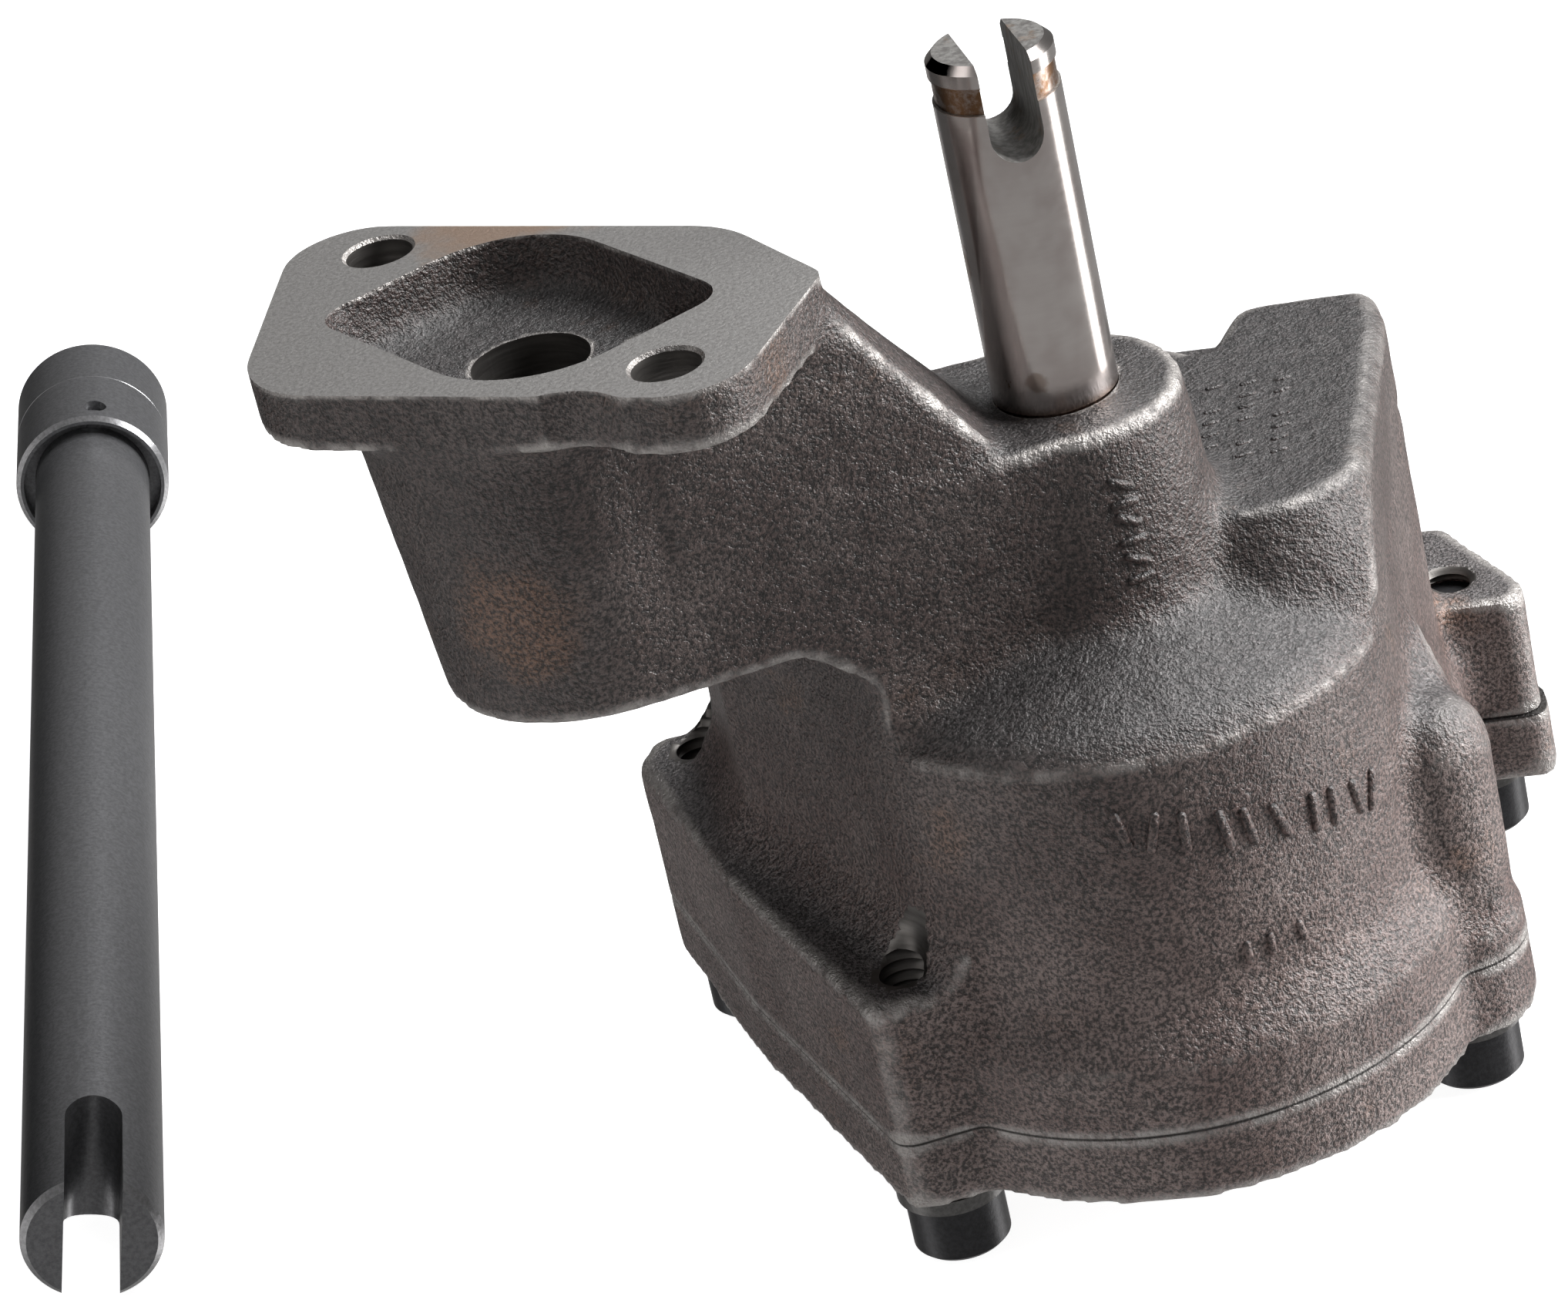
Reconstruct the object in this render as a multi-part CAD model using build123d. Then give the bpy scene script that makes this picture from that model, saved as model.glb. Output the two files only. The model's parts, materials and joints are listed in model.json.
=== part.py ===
from build123d import *
import math
import os

# Gear oil pump of a vee engine, with the intermediate shaft that drives it.
#
# Millimetres, +Z up.  The origin is on the drive shaft's axis, at the foot of its free end, just
# above the boss that it comes out of.  +Y runs from the drive gear to the idler gear.  The mounting
# face looks up, the cover is bolted on from below, and the pump stands on the heads of its cover
# bolts.

# ---------------------------------------------------------------- driving dimensions
# Gears
tooth_count = 12
gear_module = 3.175
pressure_angle = 28.0
gear_length = 38.0
tooth_backlash = 0.36
tip_clearance = 0.25
end_float = 0.05
running_clearance = 0.03

# Shafts
drive_shaft_diameter = 12.6
idler_shaft_diameter = 12.6
shaft_rise = 36.8
shaft_shoulder = 0.5
shaft_groove_width = 1.0
shaft_groove_cut = 0.3
shaft_slot_width = 5.0
shaft_slot_depth = 15.5
shaft_slot_turn = 27.0
shaft_neck_start = 6.2
shaft_neck_length = 3.2
shaft_neck_cut = 0.25
shaft_chamfer = 0.8
idler_seat_depth = 9.0

# Pump body
boss_height = 26.0
boss_diameter = 24.8
boss_foot_diameter = 30.0
end_wall = 4.4
case_wall = 6.5
case_draft = 0.5
case_rim = 2.0
pad_rim = 1.5
inlet_bulge = 1.5
rear_slope = 25.0
rear_slope_start = 58.0
lip_width = 2.9
lip_height = 7.5
lip_slope = 30.0
crown_rise = 5.5
crown_top_diameter = 27.0
crown_inset = 2.0
pad_rise = 11.0
pad_right = 28.0
pad_front = -3.3
pad_back = 44.0
pad_step = 13.0
pad_left = 2.0
pad_corner = 11.0
pad_tight_corner = 3.0
pad_slope = 32.0
ledge_height = 16.5
ledge_rounding = 2.4
skirt_width = 3.5
skirt_height = 5.0
corner_ear_height = 14.5
side_boss_extra = 0.2
side_ridge_radius = 6.2
side_ridge_foot = 4.0
side_ridge_shoulder = 6.0
side_ridge_run = 12.0
idler_boss_diameter = 24.0
idler_boss_rise = 5.4

# Mounting flange, column and arm
mount_height = 23.0
arm_reach = 49.7
arm_angle = 197.1
flange_thickness = 6.2
flange_ear_radius = 7.4
flange_front_radius = 11.0
flange_back_radius = 12.4
flange_point_radius = 1.5
dowel_spacing = 49.2
dowel_angle = -46.5
dowel_hole_diameter = 6.8
dowel_hole_depth = 12.0
dowel_chamfer = 0.35
mount_hole_diameter = 11.9
pocket_length = 34.6
pocket_width = 26.6
pocket_depth = 6.0
pocket_draft = 12.0
column_height = 38.0
column_foot_diameter = 31.2
column_draft = 5.0
riser_diameter = 11.0
riser_wall = 3.5
haunch_start = 18.2
haunch_run = 14.0
ramp_start = 8.0
ramp_foot_reach = 42.4
ramp_foot_back = 39.2
ramp_head_reach = 27.5

# Cover
cover_thickness = 8.0
cover_boss_depth = 7.4
port_radius = 7.5
pickup_reach = 17.5
pickup_step = 3.0
pickup_bore_diameter = 19.0
pickup_bore_depth = 11.0
pickup_wall = 4.0
bolt_boss_radius = 7.4

# Relief valve, in the cover
relief_x = -29.0
relief_start = 4.0
relief_bore_diameter = 10.5
relief_clearance = 0.03
relief_wall = 2.4
relief_bore_length = 50.0
piston_length = 16.0
piston_wall = 1.6
spring_wire_diameter = 1.2
spring_coils = 8
relief_chamber_length = 7.6
relief_stub_diameter = 4.0
relief_pin_diameter = 3.2
relief_pin_inset = 4.0
relief_pin_depth = 2.0
relief_spring_room = 0.4
relief_port_diameter = 6.4
relief_housing_rounding = 3.0

# Cover bolts: quarter inch socket head cap screws on split lock washers
bolt_diameter = 6.35
bolt_length = 22.2
bolt_head_diameter = 10.2
bolt_head_height = 6.35
bolt_socket_width = 4.76
bolt_socket_depth = 3.2
bolt_hole_clearance = 0.25
bolt_thread_clearance = 0.02
bolt_end_room = 0.5
bolt_head_chamfer = 0.5
tap_drill_diameter = 5.1
washer_thickness = 1.6
washer_outer_diameter = 11.6
washer_gap = 1.2
washer_first_turn = 40.0
washer_turn_step = 75.0

# Intermediate shaft and its coupling collar
link_diameter = 15.4
link_length = 197.8
link_tang_length = 9.0
link_tang_width = 4.6
link_slot_width = 6.2
link_slot_depth = 17.0
link_slot_turn = 17.0
link_chamfer = 1.0
collar_diameter = 20.7
collar_length = 24.7
collar_overlap = 12.0
collar_clearance = 0.03
collar_chamfer = 0.6
collar_pin_diameter = 3.2
collar_pin_inset = 3.7
link_place = (-162.1, 188.6)
link_heading = -77.6
tang_narrowing = 1.0

# ---------------------------------------------------------------- levels and centres
boss_top = -shaft_shoulder
case_top = -boss_height
chamber_top = case_top - end_wall
seam = chamber_top - gear_length - 2 * end_float
cover_bottom = seam - cover_thickness
washer_bottom = cover_bottom - washer_thickness
floor_level = washer_bottom - bolt_head_height
ledge_top = seam + ledge_height
corner_ear_top = seam + corner_ear_height
pad_top = case_top + pad_rise
mount_underside = mount_height - flange_thickness
column_bottom = mount_height - column_height
cover_boss_bottom = cover_bottom - cover_boss_depth

pitch_radius = gear_module * tooth_count / 2
tip_radius = pitch_radius + gear_module
root_radius = pitch_radius - 1.2 * gear_module
gear_distance = 2 * pitch_radius
chamber_radius = tip_radius + tip_clearance
case_radius = chamber_radius + case_wall
lip_radius = case_radius + lip_width

drive_centre = (0.0, 0.0)
idler_centre = (0.0, gear_distance)
mesh_y = gear_distance / 2
pickup_place = (pickup_reach, mesh_y)
drive_radius = drive_shaft_diameter / 2
idler_radius = idler_shaft_diameter / 2


def polar(radius, degrees, centre=(0.0, 0.0)):
    """Point at a radius and an angle from a centre."""
    turn = math.radians(degrees)
    return (centre[0] + radius * math.cos(turn), centre[1] + radius * math.sin(turn))


mount_centre = polar(arm_reach, arm_angle)
mount_frame = Location((*mount_centre, 0), (0, 0, dowel_angle))
arm_frame = Location((*mount_centre, 0), (0, 0, arm_angle - 180))

# Bolt places: two beside each gear, and one on the corner of the outlet chest.
bolt_circle = case_radius + 3.0
bolt_places = [
    polar(bolt_circle, 223.0),
    polar(bolt_circle - 2.2, -1.4),
    polar(bolt_circle + 1.2, 20.5, idler_centre),
    polar(bolt_circle, 115.0, idler_centre),
    (-50.7, 29.4),
]


# ---------------------------------------------------------------- helpers
def disc(radius, place=(0.0, 0.0)):
    """Round face in the XY plane."""
    return Pos(*place) * Circle(radius)


def hull(*discs):
    """Outline stretched round a few discs, like a belt round pulleys."""
    belt = make_hull([edge for face in discs for edge in face.edges()])
    return make_face(belt.face().outer_wire().edges())


def prism(face, low, high, draft=0.0):
    """Face raised from one level to another, narrowing upwards by the draft."""
    return Pos(0, 0, low) * extrude(face, high - low, taper=draft)


def taper(low_face, high_face, low, high):
    """Solid whose outline changes evenly from one level to another."""
    return loft([Pos(0, 0, low) * low_face, Pos(0, 0, high) * high_face], ruled=True)


def post(radius, low, high, place=(0.0, 0.0)):
    """Upright round bar."""
    return prism(disc(radius, place), low, high)


def outline(points, rounding):
    """Polygon with every corner rounded."""
    face = make_face(Polyline(*points, close=True))
    return fillet(face.vertices(), rounding)


def cone(low_radius, high_radius, low, high, place=(0.0, 0.0)):
    """Upright cone frustum."""
    height = high - low
    return Pos(*place, (low + high) / 2) * Cone(low_radius, high_radius, height)


def bar_between(start, end, radius):
    """Round bar from one point to another."""
    start = Vector(*start)
    run = Vector(*end) - start
    return extrude(Plane(start, z_dir=run) * Circle(radius), run.length)


def carve(solid, cuts):
    """Solid with the cuts taken out one after another."""
    for cut in cuts:
        solid -= cut
    return solid


# ---------------------------------------------------------------- pump body
chest_corner_radius = 3.0
chest_left = [(-39.4, 8.9), (-45.7, 31.0), (-41.6, 36.7)]
ledge_corners = [
    (-26.2, -29.2),
    (-44.4, 1.0),
    (-57.4, 27.4),
    (-56.4, 33.0),
    (-44.0, 36.0),
    (0.0, mesh_y),
    (-15.0, -25.5),
]
ear_corners = [(39.9, 43.2), (39.3, 47.8), (30.4, 63.0), (0.0, 60.0), (0.0, 43.8)]


def flange_face():
    """Mounting flange: two dowel ears, and a broad corner over the arm."""
    ear_offset = dowel_spacing / 2 + 0.8
    return hull(
        disc(flange_ear_radius, (-ear_offset, -2.4)),
        disc(flange_ear_radius, (ear_offset, 1.2)),
        disc(flange_front_radius, (-8.0, -13.4)),
        disc(flange_back_radius, (7.2, 9.4)),
        disc(flange_point_radius, (21.6, 18.9)),
    )


def pocket_face(shrink):
    """Oil pocket in the mounting face: tight corners on one diagonal, wide ones on the other."""
    half_length = pocket_length / 2
    half_width = pocket_width / 2
    tight = 4.0
    wide = 12.0
    return hull(
        disc(tight - shrink, (tight - half_length, tight - half_width)),
        disc(tight - shrink, (half_length - tight, half_width - tight)),
        disc(wide - shrink, (wide - half_length, half_width - wide)),
        disc(wide - shrink, (half_length - wide, wide - half_width)),
    )


def arm_plan():
    """Arm seen from above: the column's foot and the boss, with the belt between them."""
    return hull(disc(column_foot_diameter / 2, mount_centre), disc(boss_diameter / 2 - 0.5))


def arm_beam():
    """Lower part of the arm, level on top, its underside rising to meet the column."""
    heading = arm_angle - 180
    side_plane = Plane(
        (*mount_centre, 0), x_dir=(*polar(1, heading), 0), z_dir=(*polar(1, heading - 90), 0)
    )
    side = [
        (0.0, column_bottom),
        (haunch_start, column_bottom),
        (haunch_start + haunch_run, case_top),
        (arm_reach, case_top),
        (arm_reach, boss_top),
        (0.0, boss_top),
    ]
    profile = side_plane * make_face(Polyline(*side, close=True))
    return prism(arm_plan(), case_top - 1, boss_top) & extrude(profile, column_foot_diameter, both=True)


def arm_ramp():
    """Upper part of the arm, falling from the flange's corner to the foot of the shaft."""
    half_width = boss_diameter / 2
    foot = [
        (ramp_start, half_width - 0.4),
        (ramp_foot_back, half_width - 0.6),
        (ramp_foot_reach, 0.0),
        (ramp_foot_reach - 0.4, 1.0 - half_width),
        (ramp_start, -column_foot_diameter / 2),
    ]
    head = [
        (ramp_start, ramp_start),
        (ramp_head_reach, -9.3),
        (ramp_head_reach - 0.1, -11.0),
        (ramp_head_reach - 1.3, -13.0),
        (ramp_start, -18.0),
    ]
    ends = []
    for corners, level in ((foot, boss_top - 0.5), (head, mount_height - 1.4)):
        ends.append(Pos(0, 0, level) * arm_frame * make_face(Polyline(*corners, close=True)))
    return loft(ends, ruled=True)


def arm_blank():
    """Arm from the column to the shaft boss, with the case's wall carried up under it."""
    web = drafted_case(column_bottom + 1) & prism(arm_plan(), case_top - 1, boss_top)
    return arm_beam() + arm_ramp() + web


def uv_point(along, across):
    """Point of the mounting flange, along and across its dowel line."""
    spot = mount_frame * Pos(along, across)
    return (spot.position.X, spot.position.Y)


riser_mouth = (*uv_point(11.8, 8.4), mount_height - pocket_depth)
riser_foot = (-31.0, 14.0, chamber_top - 6.0)


def chest_face(grown=0.0):
    """Plan of the case: two gear circles, and the outlet chest drawn out from them to the left."""
    corners = [disc(chest_corner_radius + grown, corner) for corner in chest_left]
    bulge = (inlet_bulge, gear_distance - inlet_bulge)
    return hull(disc(case_radius + grown), disc(case_radius + grown, bulge), *corners)


def drafted_case(top, rim=0.0):
    """Outer wall of the case, leaning inwards up to a level, with the rim bevelled."""
    shoulder = top - rim
    lean = (shoulder - seam) * math.tan(math.radians(case_draft))
    case = taper(chest_face(), chest_face(-lean), seam, shoulder)
    if rim > 0:
        case += taper(chest_face(-lean), chest_face(-lean - rim), shoulder, top)
    return case


def rear_cut():
    """Wedge above the rear of the case, whose roof falls away behind the idler gear."""
    wide = 4 * case_radius
    block = Pos(0, wide / 2, wide / 2) * Box(wide, wide, wide)
    return Pos(0, rear_slope_start, case_top) * Rot(-rear_slope, 0, 0) * block


def pad_faces(spread):
    """Plan of the inlet chamber's roof, in two overlapping parts, grown by the spread of its foot."""
    corner = pad_corner + spread
    tight = pad_tight_corner + spread
    step_y = pad_back - pad_step
    main = hull(
        disc(corner, (pad_right - pad_corner, pad_front + pad_corner)),
        disc(tight, (pad_right, pad_back - pad_tight_corner)),
        disc(tight, (pad_right - pad_corner, pad_back - pad_tight_corner)),
    )
    rear = hull(
        disc(tight, (pad_left + pad_tight_corner, 6.0)),
        disc(tight, (pad_left + pad_tight_corner, step_y)),
        disc(corner, (pad_right - pad_corner, step_y - 7.0)),
    )
    return main, rear


def case_blank():
    """Case over the gears: flat in front, raised over the inlet chamber, crowned round the boss."""
    case = drafted_case(case_top, case_rim) - rear_cut()
    wall = drafted_case(pad_top, pad_rim)
    spread = pad_rise * math.tan(math.radians(pad_slope))
    for foot, head in zip(pad_faces(spread), pad_faces(0.0)):
        case += taper(foot, head, case_top, pad_top) & wall
    crown_foot = case_radius - crown_inset
    return case + cone(crown_foot, crown_top_diameter / 2, case_top - 0.01, case_top + crown_rise)


def body_blank():
    """Outside of the casting."""
    body = case_blank()
    lip_face = hull(disc(lip_radius), disc(lip_radius, idler_centre))
    body += prism(lip_face, seam, seam + lip_height)
    flare_height = lip_width / math.tan(math.radians(lip_slope))
    body += prism(lip_face, seam + lip_height, seam + lip_height + flare_height, lip_slope)
    ledge = outline(ledge_corners, ledge_rounding)
    body += prism(ledge, seam, ledge_top)
    skirt = taper(chest_face(skirt_width), chest_face(), ledge_top, ledge_top + skirt_height)
    body += skirt & prism(ledge, ledge_top, case_top)
    body += prism(outline(ear_corners, ledge_rounding), seam, corner_ear_top)
    body += bolt_columns()
    body += cone(boss_foot_diameter / 2, boss_diameter / 2, case_top - 1, boss_top)
    body += post(idler_boss_diameter / 2, case_top - 1, case_top + idler_boss_rise, idler_centre)
    body += arm_blank()
    body += bar_between(riser_mouth, riser_foot, riser_diameter / 2 + riser_wall)
    column_face = disc(column_foot_diameter / 2, mount_centre)
    body += prism(column_face, column_bottom, mount_underside, -column_draft)
    body += prism(mount_frame * flange_face(), mount_underside, mount_height)
    return body


def bolt_columns():
    """Metal round the bolts that stand clear of the ledge and the ear."""
    side = bolt_places[1]
    foot_top = seam + side_ridge_foot
    columns = post(bolt_boss_radius, seam, ledge_top, bolt_places[3])
    columns += post(bolt_boss_radius + side_boss_extra, seam, foot_top, side)
    shoulder = ledge_top + side_ridge_shoulder
    ridge = (side[0] + bolt_boss_radius + side_boss_extra - 0.8 - side_ridge_radius, side[1])
    wall_x = case_radius - side_ridge_radius
    rib = hull(disc(side_ridge_radius, ridge), disc(side_ridge_radius, (wall_x, ridge[1])))
    columns += prism(rib, seam, shoulder)
    columns += Pos(*ridge, shoulder) * Sphere(side_ridge_radius)
    low_radius = side_ridge_radius - 1
    high_radius = side_ridge_radius / 2
    low_end = hull(disc(low_radius, ridge), disc(low_radius, (wall_x, ridge[1])))
    high_end = hull(
        disc(high_radius, (wall_x + high_radius, side_ridge_run)),
        disc(high_radius, (wall_x - high_radius, side_ridge_run)),
    )
    return columns + taper(low_end, high_end, shoulder, shoulder + side_ridge_run)


def chamber_cuts():
    """Gear chambers, ports and shaft bores."""
    outlet = hull(disc(11.0, (-20.0, mesh_y)), disc(7.0, (-32.0, 15.0)))
    inlet = hull(disc(port_radius, (11.0, mesh_y)), disc(port_radius, pickup_place))
    cuts = [post(chamber_radius, seam, chamber_top, centre) for centre in (drive_centre, idler_centre)]
    cuts.append(prism(outlet, seam, chamber_top - 2.0))
    cuts.append(prism(inlet, seam, pad_top - end_wall))
    cuts.append(post(drive_radius + running_clearance, chamber_top, 0))
    cuts.append(post(idler_radius, chamber_top, chamber_top + idler_seat_depth, idler_centre))
    return cuts


def flange_cuts():
    """Oil pocket, riser, mounting bolt hole and dowel holes."""
    pocket_shrink = pocket_depth * math.tan(math.radians(pocket_draft))
    pocket = mount_frame * pocket_face(pocket_shrink)
    cuts = [
        prism(pocket, mount_height - pocket_depth, mount_height, -pocket_draft),
        bar_between(riser_mouth, riser_foot, riser_diameter / 2),
        post(mount_hole_diameter / 2, column_bottom, mount_height, mount_centre),
    ]
    for side in (-1, 1):
        place = uv_point(side * dowel_spacing / 2, 0)
        cuts.append(post(dowel_hole_diameter / 2, mount_height - dowel_hole_depth, mount_height, place))
        top_radius = dowel_hole_diameter / 2 + dowel_chamfer
        chamfer_foot = mount_height - dowel_chamfer
        cuts.append(cone(dowel_hole_diameter / 2, top_radius, chamfer_foot, mount_height, place))
    return cuts


def bolt_cuts():
    """Threaded holes for the cover bolts, drilled on through the ledge but not the side ridge."""
    cuts = []
    thread_end = washer_bottom + bolt_length + bolt_end_room
    drill_end = ledge_top + skirt_height + 1
    for index, place in enumerate(bolt_places):
        cuts.append(post(bolt_diameter / 2 + bolt_thread_clearance, seam, thread_end, place))
        if index != 1:
            cuts.append(post(tap_drill_diameter / 2, thread_end, drill_end, place))
    return cuts


def pump_body():
    """Cast iron body with the gear chambers, the arm and the mounting flange."""
    return carve(body_blank(), chamber_cuts() + flange_cuts() + bolt_cuts())


# ---------------------------------------------------------------- cover
cover_ear_corners = [(40.6, 42.8), (40.0, 48.5), (30.6, 64.5), (0.0, 60.0), (0.0, 42.5)]


def relief_level():
    """Height of the relief bore's axis, midway through the thick part of the cover."""
    return (seam + cover_boss_bottom) / 2


def pump_cover():
    """Cast iron cover with the pickup boss and the relief valve housing."""
    plate = prism(hull(disc(lip_radius), disc(lip_radius, idler_centre)), cover_bottom, seam)
    plate += prism(chest_face(), cover_bottom, seam)
    plate += prism(outline(ledge_corners, ledge_rounding), cover_bottom, seam)
    plate += prism(outline(cover_ear_corners, ledge_rounding), cover_bottom, seam)
    plate += post(bolt_boss_radius + side_boss_extra, cover_bottom, seam, bolt_places[1])
    plate += post(bolt_boss_radius, cover_bottom, seam, bolt_places[3])
    pickup_radius = pickup_bore_diameter / 2
    cover = plate + post(pickup_radius + pickup_wall, cover_boss_bottom, seam, pickup_place)
    half = relief_bore_diameter / 2 + relief_wall
    end = relief_start + relief_bore_length
    left, right = relief_x - half, relief_x + half
    front = relief_start - half
    corners = [(left, front), (right, front), (right, end), (left, end)]
    cover += prism(outline(corners, relief_housing_rounding), cover_boss_bottom, seam)
    return carve(cover, cover_cuts())


def relief_port(low, high, y):
    """Round port into the relief bore."""
    return post(relief_port_diameter / 2, low, high, (relief_x, y))


def cover_cuts():
    """Pickup bore, ports, relief bore and bolt holes."""
    bore_top = cover_boss_bottom + pickup_bore_depth
    inlet_y = relief_start + relief_chamber_length / 2
    drain_y = relief_start + relief_chamber_length + relief_port_diameter / 2 + 0.8
    cuts = [
        post(pickup_bore_diameter / 2, cover_boss_bottom, bore_top, pickup_place),
        post(pickup_bore_diameter / 2 - pickup_step, bore_top, seam, pickup_place),
        relief_frame() * post(relief_bore_diameter / 2, 0, relief_bore_length),
        relief_port(relief_level(), seam, inlet_y),
        relief_port(cover_boss_bottom, relief_level(), drain_y),
        relief_pin(),
    ]
    for place in bolt_places:
        cuts.append(post(bolt_diameter / 2 + bolt_hole_clearance, cover_bottom, seam, place))
    return cuts


# ---------------------------------------------------------------- gears and shafts
def involute_point(base_radius, radius, offset):
    """Point of an involute flank at a radius, turned by an offset angle."""
    unroll = math.sqrt((radius / base_radius) ** 2 - 1)
    return polar(radius, math.degrees(unroll - math.atan(unroll) + offset))


def gear_face(phase):
    """Spur gear outline, each flank an arc through three points of its involute."""
    base_radius = pitch_radius * math.cos(math.radians(pressure_angle))
    roll = math.tan(math.radians(pressure_angle)) - math.radians(pressure_angle)
    half_tooth = math.pi / (2 * tooth_count) - tooth_backlash / (2 * pitch_radius)
    start_radius = max(base_radius + 0.01, root_radius + 0.4)
    radii = (start_radius, (start_radius + tip_radius) / 2, tip_radius)
    pitch_turn = 2 * math.pi / tooth_count
    edges = []
    for tooth in range(tooth_count):
        turn = math.radians(phase) + tooth * pitch_turn
        rise = [involute_point(base_radius, radius, turn - half_tooth - roll) for radius in radii]
        fall = [mirrored(point, turn) for point in reversed(rise)]
        crest = polar(tip_radius, math.degrees(turn))
        valley = polar(root_radius, math.degrees(turn + pitch_turn / 2))
        next_rise = involute_point(base_radius, start_radius, turn + pitch_turn - half_tooth - roll)
        edges.append(ThreePointArc(*rise))
        edges.append(ThreePointArc(rise[-1], crest, fall[0]))
        edges.append(ThreePointArc(*fall))
        edges.append(ThreePointArc(fall[-1], valley, next_rise))
    return make_face(edges)


def mirrored(point, turn):
    """Point mirrored in the line through the centre at a turn, in radians."""
    angle = 2 * turn - math.atan2(point[1], point[0])
    return polar(math.hypot(*point), math.degrees(angle))


def spur_gear(phase, bore_radius, centre):
    """Pump gear, filling its chamber but for the end float."""
    low = seam + end_float
    face = Pos(*centre) * gear_face(phase)
    return prism(face, low, low + gear_length) - post(bore_radius, low, low + gear_length, centre)


def groove(radius, depth, low, high):
    """Ring to turn off a shaft."""
    return post(radius + 1, low, high) - post(radius - depth, low, high)


def drive_shaft():
    """Drive shaft: slotted and necked at its upper end, flush with the gear at its lower end."""
    low = seam + end_float
    shaft = post(drive_radius, low, shaft_rise)
    shaft = chamfer(shaft.edges().group_by(Axis.Z)[-1], shaft_chamfer)
    neck_top = shaft_rise - shaft_neck_start
    shaft -= groove(drive_radius, shaft_neck_cut, neck_top - shaft_neck_length, neck_top)
    groove_top = boss_top + shaft_groove_cut
    shaft -= groove(drive_radius, shaft_groove_cut, groove_top - shaft_groove_width, groove_top)
    half = shaft_slot_width / 2
    slot_bottom = shaft_rise - shaft_slot_depth
    slot = Pos(0, 0, slot_bottom + half + 20) * Box(shaft_slot_width, 3 * drive_radius, 40)
    slot += Pos(0, 0, slot_bottom + half) * Rot(90, 0, 0) * Cylinder(half, 3 * drive_radius)
    return shaft - Rot(0, 0, shaft_slot_turn) * slot


def idler_shaft():
    """Fixed shaft that the idler gear turns on, pressed into the body."""
    return post(idler_radius, seam + end_float, chamber_top + idler_seat_depth, idler_centre)


# ---------------------------------------------------------------- relief valve
def relief_frame():
    """Frame with its Z axis along the relief bore, from the closed end."""
    return Pos(relief_x, relief_start, relief_level()) * Rot(-90, 0, 0)


def relief_piston():
    """Cup piston, closed towards the outlet."""
    radius = relief_bore_diameter / 2 - relief_clearance
    crown = relief_chamber_length + piston_wall
    piston = post(radius, relief_chamber_length, relief_chamber_length + piston_length)
    piston -= post(radius - piston_wall, crown, relief_chamber_length + piston_length)
    piston += post(relief_stub_diameter / 2, 0, relief_chamber_length)
    return relief_frame() * piston


def relief_spring():
    """Coil spring between the piston and the cross pin."""
    start = relief_chamber_length + piston_wall
    end = relief_bore_length - relief_pin_inset - relief_pin_diameter / 2
    wire_radius = spring_wire_diameter / 2
    bore_radius = relief_bore_diameter / 2 - piston_wall - 2 * relief_clearance
    radius = bore_radius - wire_radius - relief_spring_room
    height = end - start - 2 * wire_radius - 0.1
    path = Helix(height / spring_coils, height, radius)
    wire = sweep(Plane(path @ 0, z_dir=path % 0) * Circle(wire_radius), path)
    return relief_frame() * Pos(0, 0, start + wire_radius + 0.05) * wire


def relief_pin():
    """Cross pin that holds the spring in."""
    place = (relief_x, relief_start + relief_bore_length - relief_pin_inset)
    return post(relief_pin_diameter / 2, cover_boss_bottom, seam - relief_pin_depth, place)


# ---------------------------------------------------------------- cover bolts
def cover_bolt(place):
    """Socket head cap screw, head down."""
    head = post(bolt_head_diameter / 2, floor_level, washer_bottom, place)
    head = chamfer(head.edges().group_by(Axis.Z)[0], bolt_head_chamfer)
    bolt = head + post(bolt_diameter / 2, washer_bottom, washer_bottom + bolt_length, place)
    hexagon = RegularPolygon(bolt_socket_width / 2, 6, major_radius=False)
    return bolt - Pos(*place, floor_level) * extrude(hexagon, bolt_socket_depth)


def lock_washer(place, turn):
    """Split spring washer."""
    ring = post(washer_outer_diameter / 2, washer_bottom, cover_bottom, place)
    ring -= post(bolt_diameter / 2 + bolt_hole_clearance, washer_bottom, cover_bottom, place)
    gap = Pos(washer_outer_diameter / 2, 0, 0) * Box(washer_outer_diameter, washer_gap, 4)
    return ring - Pos(*place, (washer_bottom + cover_bottom) / 2) * Rot(0, 0, turn) * gap


# ---------------------------------------------------------------- intermediate shaft
def link_frame():
    """Frame with its Z axis along the lying intermediate shaft, from its collar end."""
    lie = floor_level + collar_diameter / 2
    reach = link_length + collar_length - collar_overlap
    droop = math.degrees(math.asin((collar_diameter - link_diameter) / 2 / reach))
    return Pos(*link_place, lie) * Rot(0, 0, link_heading) * Rot(0, 90 + droop, 0)


def intermediate_shaft():
    """Long shaft with a tang at the collar end and a slot at the far end."""
    radius = link_diameter / 2
    start = collar_length - collar_overlap
    end = start + link_length
    shaft = post(radius, start, end)
    shaft = chamfer(shaft.edges().group_by(Axis.Z)[-1], link_chamfer)
    tang_width = drive_shaft_diameter - tang_narrowing
    shaft += prism(Rectangle(tang_width, link_tang_width), start - link_tang_length, start)
    half = link_slot_width / 2
    slot_start = end - link_slot_depth + half
    slot = prism(Rectangle(2 * link_diameter, link_slot_width), slot_start, end + 1)
    slot += Pos(0, 0, slot_start) * cross_bar(half, 2 * link_diameter)
    shaft -= Rot(0, 0, link_slot_turn) * slot
    shaft -= collar_pin_bar(collar_diameter)
    return link_frame() * shaft


def cross_bar(radius, length):
    """Round bar along X."""
    return Rot(0, 90, 0) * Cylinder(radius, length)


def collar_pin_bar(length):
    """Cross pin in the intermediate shaft's own frame."""
    return Pos(0, 0, collar_length - collar_pin_inset) * cross_bar(collar_pin_diameter / 2, length)


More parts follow.
